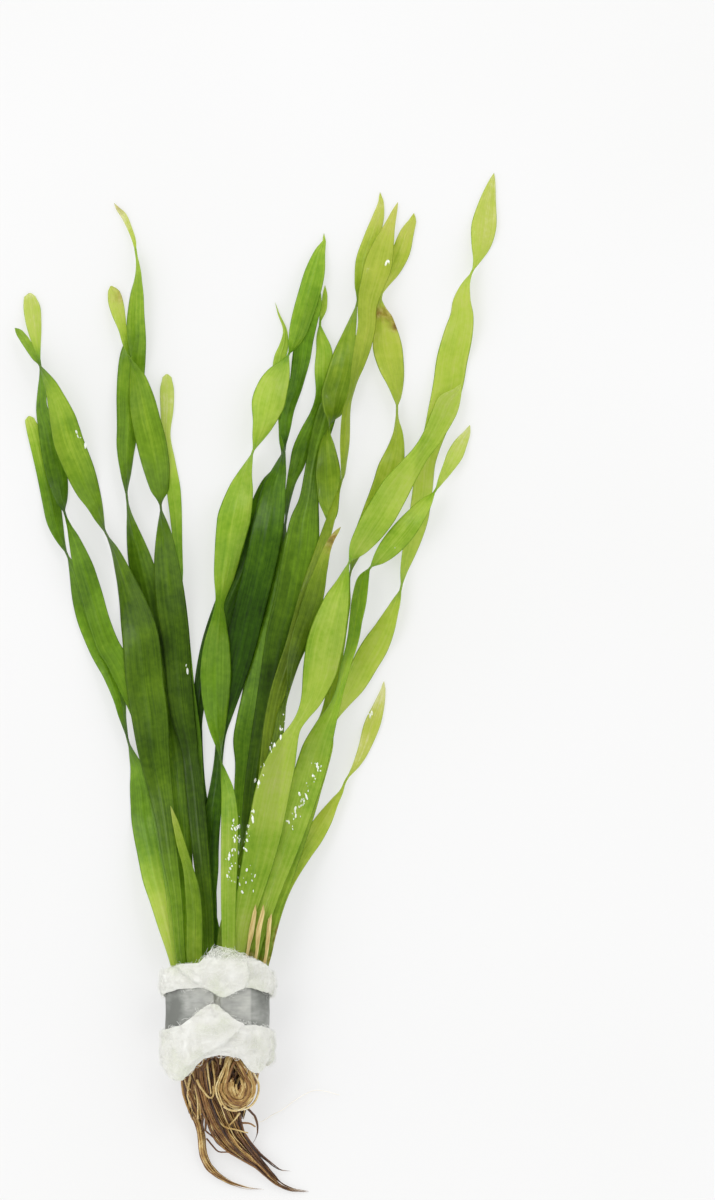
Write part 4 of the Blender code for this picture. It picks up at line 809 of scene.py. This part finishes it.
def wool_relief(p):
    """Edges of its layers, soft lumps, shallow pulls round the wrap, and the short crumple of the fibres."""
    layers = 0.0
    if p.z > WOOL_AXIS:
        layers = sum(stepped(p.x - MOUTH.x / MM, p.y - MOUTH.y / MM, edge) for edge in LAYER_EDGES)
    lumps = noise.noise(Vector((p.x / 5, p.y / 4, p.z / 5)))
    pulls = 1 - abs(noise.noise(Vector((p.x / 7, p.y / 1.9, p.z / 7 + 9)))) * 2
    crumple = noise.fractal(Vector((p.x / 1.3, p.y / 1.1, p.z / 1.3)), 0.8, 2.0, 3)
    return 0.8 * layers + 0.3 * lumps - 0.25 * max(0.0, pulls) ** 4 + 0.13 * crumple


wool = merged_copy(nodes["wool_wrap"], "wool_wrap_surface")
finer = wool.modifiers.new("finer", "SUBSURF")
finer.levels = finer.render_levels = 3
depsgraph = bpy.context.evaluated_depsgraph_get()
wool.data = bpy.data.meshes.new_from_object(wool.evaluated_get(depsgraph), depsgraph=depsgraph)
wool.modifiers.clear()
reshaped(wool, wool_relief)
# Polyester fleece: near white, with a painted green cast standing in for light bounced from the leaves, very
# rough, with a soft sheen of fibre ends.
wool_finish, tree = blank_finish("polyester_filter_wool")
where = add(tree, "ShaderNodeTexCoord").node.outputs["Object"]
cloud = add(tree, "ShaderNodeTexNoise", {"Vector": where, "Scale": 0.16 / MM, "Detail": 3.0})
stretched = add(tree, "ShaderNodeMapping", {"Vector": where, "Scale": (0.5, 1.6, 0.5)})
tangle = add(tree, "ShaderNodeTexNoise", {
    "Vector": stretched, "Scale": 1.6 / MM, "Detail": 5.0, "Roughness": 0.7, "Distortion": 1.5,
})
# The greener low end of this ramp is painted bounce light from the leaves.
fleece_white_green_bounce = add(tree, "ShaderNodeValToRGB", [cloud], [(0.3, "#e3e6d6"), (0.5, "#efefe8"), (0.7, "#f8f8f4")])
bump = add(tree, "ShaderNodeBump", {"Height": tangle, "Strength": 0.7, "Distance": 0.25 * MM})
fleece = add(tree, "ShaderNodeBsdfPrincipled", {
    "Base Color": fleece_white_green_bounce, "Roughness": 0.9, "Normal": bump, "Sheen Weight": 0.3, "Sheen Roughness": 0.5,
})
glow = add(tree, "ShaderNodeBsdfTranslucent", {"Color": fleece_white_green_bounce, "Normal": bump})
fleece = add(tree, "ShaderNodeMixShader", [0.25, fleece, glow])
# Past the mouth the mat is teased out thin over the leaf bases, so that their green shows between its tufts.
place = add(tree, "ShaderNodeSeparateXYZ", [where]).node.outputs
teased = add(tree, "ShaderNodeMapRange", [place["Y"], MOUTH.y - 0.6 * MM, MOUTH.y + 1.8 * MM, 0.0, 0.78],
    interpolation_type="SMOOTHSTEP")
tufts = add(tree, "ShaderNodeTexNoise", {"Vector": where, "Scale": 1.1 / MM, "Detail": 4.0, "Roughness": 0.7})
tufts = add(tree, "ShaderNodeMapRange", [tufts, 0.35, 0.62, 1.25, 0.35])
open_part = add(tree, MATH, [teased, tufts], operation="MULTIPLY")
bare = add(tree, "ShaderNodeBsdfTransparent")
add(tree, "ShaderNodeOutputMaterial", [add(tree, "ShaderNodeMixShader", [open_part, fleece, bare])])
wool.data.materials.clear()
wool.data.materials.append(wool_finish)

# Loose fibres: short curved hairs of the mat that stand a little off its skin.
fuzz_tree, given = open_tree(
    "loose_fibres", Density=2.4e6, Fibre_length=2.6 * MM, Fibre_radius=0.03 * MM, Lift=0.6, Seed=7,
    Finish=None,
)
tree = fuzz_tree
points = add(tree, "GeometryNodeDistributePointsOnFaces", {
    "Mesh": given["Geometry"], "Density": given["Density"], "Seed": given["Seed"],
})
arc = add(tree, "GeometryNodeCurveQuadraticBezier", {
    "Resolution": 5, "Start": (-0.5, 0, -0.05), "Middle": (0, 0.3, 0.35), "End": (0.5, 0, -0.05),
})
slim = add(tree, MATH, [given["Fibre_radius"], given["Fibre_length"]], operation="DIVIDE")
section = add(tree, "GeometryNodeCurvePrimitiveCircle", {"Resolution": 3, "Radius": slim})
fibre = add(tree, "GeometryNodeCurveToMesh", {"Curve": arc, "Profile Curve": section, "Fill Caps": True})
lowered = add(tree, MATH, [given["Lift"], -1.0], operation="MULTIPLY")
chance = []
for later, (least, most) in enumerate(((0.0, 2 * math.pi), (lowered, given["Lift"]), (0.45, 1.25))):
    seed = add(tree, MATH, [given["Seed"], float(later)], operation="ADD")
    chance.append(add(tree, "FunctionNodeRandomValue", {2: least, 3: most, "Seed": seed}, data_type="FLOAT"))
spin, tip, size = chance
turned = add(tree, "FunctionNodeRotateRotation", {
    "Rotation": points.node.outputs["Rotation"],
    "Rotate By": add(tree, "FunctionNodeEulerToRotation", [
        add(tree, "ShaderNodeCombineXYZ", [0.0, tip, spin])
    ]),
}, rotation_space="LOCAL")
placed = add(tree, "GeometryNodeInstanceOnPoints", {
    "Points": points, "Instance": fibre, "Rotation": turned,
    "Scale": add(tree, MATH, [size, given["Fibre_length"]], operation="MULTIPLY"),
})
close_tree(tree, placed, given["Finish"])
# One fibre: clear white plastic, bright where it catches the light.
fibre_finish, tree = blank_finish("polyester_fibre")
clear_white = linear("#fbfbf8")
plastic = add(tree, "ShaderNodeBsdfPrincipled", {"Base Color": clear_white, "Roughness": 0.5})
shine = add(tree, "ShaderNodeBsdfTranslucent", {"Color": clear_white})
add(tree, "ShaderNodeOutputMaterial", [add(tree, "ShaderNodeMixShader", [0.4, plastic, shine])])


def pressed_or_inside(face):
    """Whether a face of the wool has no loose fibres, because it is near the table or inside the wrap."""
    middle = face.calc_center_median()
    outwards = Vector((middle.x - MOUTH.x, 0, middle.z - WOOL_AXIS * MM))
    return middle.z < 3.2 * MM or outwards.dot(face.normal) < 0.2 * MM


outer = bmesh.new()
outer.from_mesh(wool.data)
bmesh.ops.delete(outer, geom=[face for face in outer.faces if pressed_or_inside(face)], context="FACES")
fuzz_bed = bpy.data.meshes.new("fuzz_bed")
outer.to_mesh(fuzz_bed)
outer.free()
fuzz = grown("wool_fibres", fuzz_bed, fuzz_tree, Finish=fibre_finish)
for piece in (wool, fuzz):
    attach(piece, "root")
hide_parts("wool_wrap")

# Lead strip: a soft grey strip about 10 mm wide and under 1 mm thick, bent round the wool by hand and
# pressed flat, so it is dented, creased and dulled by its oxide.
SHARP, LONG_EDGE = 1.0, 2 * MM  # the corner in radians that is rounded, and the edge that is cut finer
strip = merged_copy(nodes["lead_strip"], "lead_strip_bent")
body = bmesh.new()
body.from_mesh(strip.data)
corners = [edge for edge in body.edges if len(edge.link_faces) == 2 and edge.calc_face_angle() > SHARP]
bmesh.ops.bevel(body, geom=corners, offset=0.12 * MM, segments=2, affect="EDGES", profile=0.6)
long_edges = [edge for edge in body.edges if edge.calc_length() > LONG_EDGE]
bmesh.ops.subdivide_edges(body, edges=long_edges, cuts=15, use_grid_fill=True)
body.to_mesh(strip.data)
body.free()


def dents(p):
    """Shallow presses a few millimetres across, and finer ones a third as deep."""
    broad = noise.noise(Vector((p.x / 3.5, p.y / 4, p.z / 3.5)))
    fine = noise.noise(Vector((p.x, p.y / 1.6, p.z)))
    return 0.16 * broad + 0.05 * fine


reshaped(strip, dents)
# Oxidised lead: a dull warm grey with soft rubs along it, half metal and half oxide to the eye.
lead, tree = blank_finish("oxidised_lead")
where = add(tree, "ShaderNodeTexCoord").node.outputs["Object"]
cloud = add(tree, "ShaderNodeTexNoise", {"Vector": where, "Scale": 0.14 / MM, "Detail": 4.0})
drawn_out = add(tree, "ShaderNodeMapping", {"Vector": where, "Scale": (0.35, 1.0, 0.35)})
rubs = add(tree, "ShaderNodeTexNoise", {"Vector": drawn_out, "Scale": 1.2 / MM, "Detail": 4.0})
shade = add(tree, MATH, [
    add(tree, MATH, [rubs, 0.5], operation="SUBTRACT"), 0.35, cloud,
], operation="MULTIPLY_ADD")
# It is painted darker where it turns down at its left, a painted shade for the side turned from the light,
# and darker over the lap of its end at its right.
place = add(tree, "ShaderNodeSeparateXYZ", [where]).node.outputs
for start, end, before, after in ((-19.8 * MM, -16.6 * MM, 0.3, 0.0), (-1.4 * MM, -0.7 * MM, 0.0, 0.2)):
    darker_at_turn_and_lap = add(tree, "ShaderNodeMapRange", [place["X"], start, end, before, after],
        interpolation_type="SMOOTHSTEP")
    shade = add(tree, MATH, [shade, darker_at_turn_and_lap], operation="SUBTRACT")
grey = add(tree, "ShaderNodeValToRGB", [shade], [
    (0.15, "#6f716c"), (0.35, "#868883"), (0.5, "#9d9e99"), (0.7, "#b6b7b0"),
])
bump = add(tree, "ShaderNodeBump", {"Height": rubs, "Strength": 0.4, "Distance": 0.06 * MM})
metal = add(tree, "ShaderNodeBsdfPrincipled", {
    "Base Color": grey, "Metallic": 0.55, "Roughness": 0.52, "Normal": bump,
})
add(tree, "ShaderNodeOutputMaterial", [metal])
strip.data.materials.clear()
strip.data.materials.append(lead)
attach(strip, "root")
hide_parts("lead_strip")

# Floor, light and camera: the bunch lies on a pale table top and is seen from straight above.
VIEW_MIDDLE = Vector((25.455, 20.675)) * MM
VIEW_TALL, VIEW_AWAY = 300 * MM, 3.0
FLOOR_HALF = 4.0
floor_mesh = bpy.data.meshes.new("table_top")
corners = [(x * FLOOR_HALF, y * FLOOR_HALF, 0) for x, y in ((-1, -1), (1, -1), (1, 1), (-1, 1))]
floor_mesh.from_pydata(corners, [], [(0, 1, 2, 3)])
floor = bpy.data.objects.new("table_top", floor_mesh)
bpy.context.scene.collection.objects.link(floor)
# White laminate: plain and matt. It is lit a little from under it, which keeps the shadows on it faint.
table_top, tree = blank_finish("white_laminate")
where = add(tree, "ShaderNodeTexCoord").node.outputs["Object"]
faint = add(tree, "ShaderNodeTexNoise", {"Vector": where, "Scale": 9.0, "Detail": 1.0})
plain = add(tree, "ShaderNodeValToRGB", [faint], [(0.3, "#8f8f8f"), (0.7, "#929293")])
laminate = add(tree, "ShaderNodeBsdfPrincipled", {
    "Base Color": plain, "Roughness": 0.8, "Emission Color": linear("#fdfdfc"), "Emission Strength": 0.565,
})
add(tree, "ShaderNodeOutputMaterial", [laminate])
floor_mesh.materials.append(table_top)

LAMPS = (("window", (-0.9, 0.7, 1.6), 1.1, 10.5), ("glint", (0.5, 1.1, 1.3), 0.2, 2.0))
for name, place, wide, watts in LAMPS:
    light = bpy.data.lights.new(name, "AREA")
    light.shape, light.size, light.energy = "DISK", wide, watts
    lamp = bpy.data.objects.new(name, light)
    lamp.location = place
    lamp.rotation_euler = (-Vector(place)).to_track_quat("-Z", "Y").to_euler()
    bpy.context.scene.collection.objects.link(lamp)
# A ring of soft light round the sides, with the dark opening above it through which the picture is taken.
world = bpy.data.worlds.new("studio")
world.use_nodes = True
tree = world.node_tree
direction = add(tree, "ShaderNodeTexCoord").node.outputs["Generated"]
upward = add(tree, "ShaderNodeSeparateXYZ", [direction]).node.outputs["Z"]
opening = add(tree, "ShaderNodeMapRange", [upward, 0.8, 0.93, 1.4, 0.25], interpolation_type="SMOOTHSTEP")
tree.links.new(opening, tree.nodes["Background"].inputs["Strength"])
tree.nodes["Background"].inputs["Color"].default_value = linear("#ffffff")
bpy.context.scene.world = world
bpy.context.scene.view_settings.view_transform = "Standard"

camera = bpy.data.objects.new("camera", bpy.data.cameras.new("camera"))
camera.data.sensor_width = 24
camera.data.lens = camera.data.sensor_width * VIEW_AWAY / VIEW_TALL
camera.location = (VIEW_MIDDLE.x, VIEW_MIDDLE.y, VIEW_AWAY)
bpy.context.scene.collection.objects.link(camera)
bpy.context.scene.camera = camera
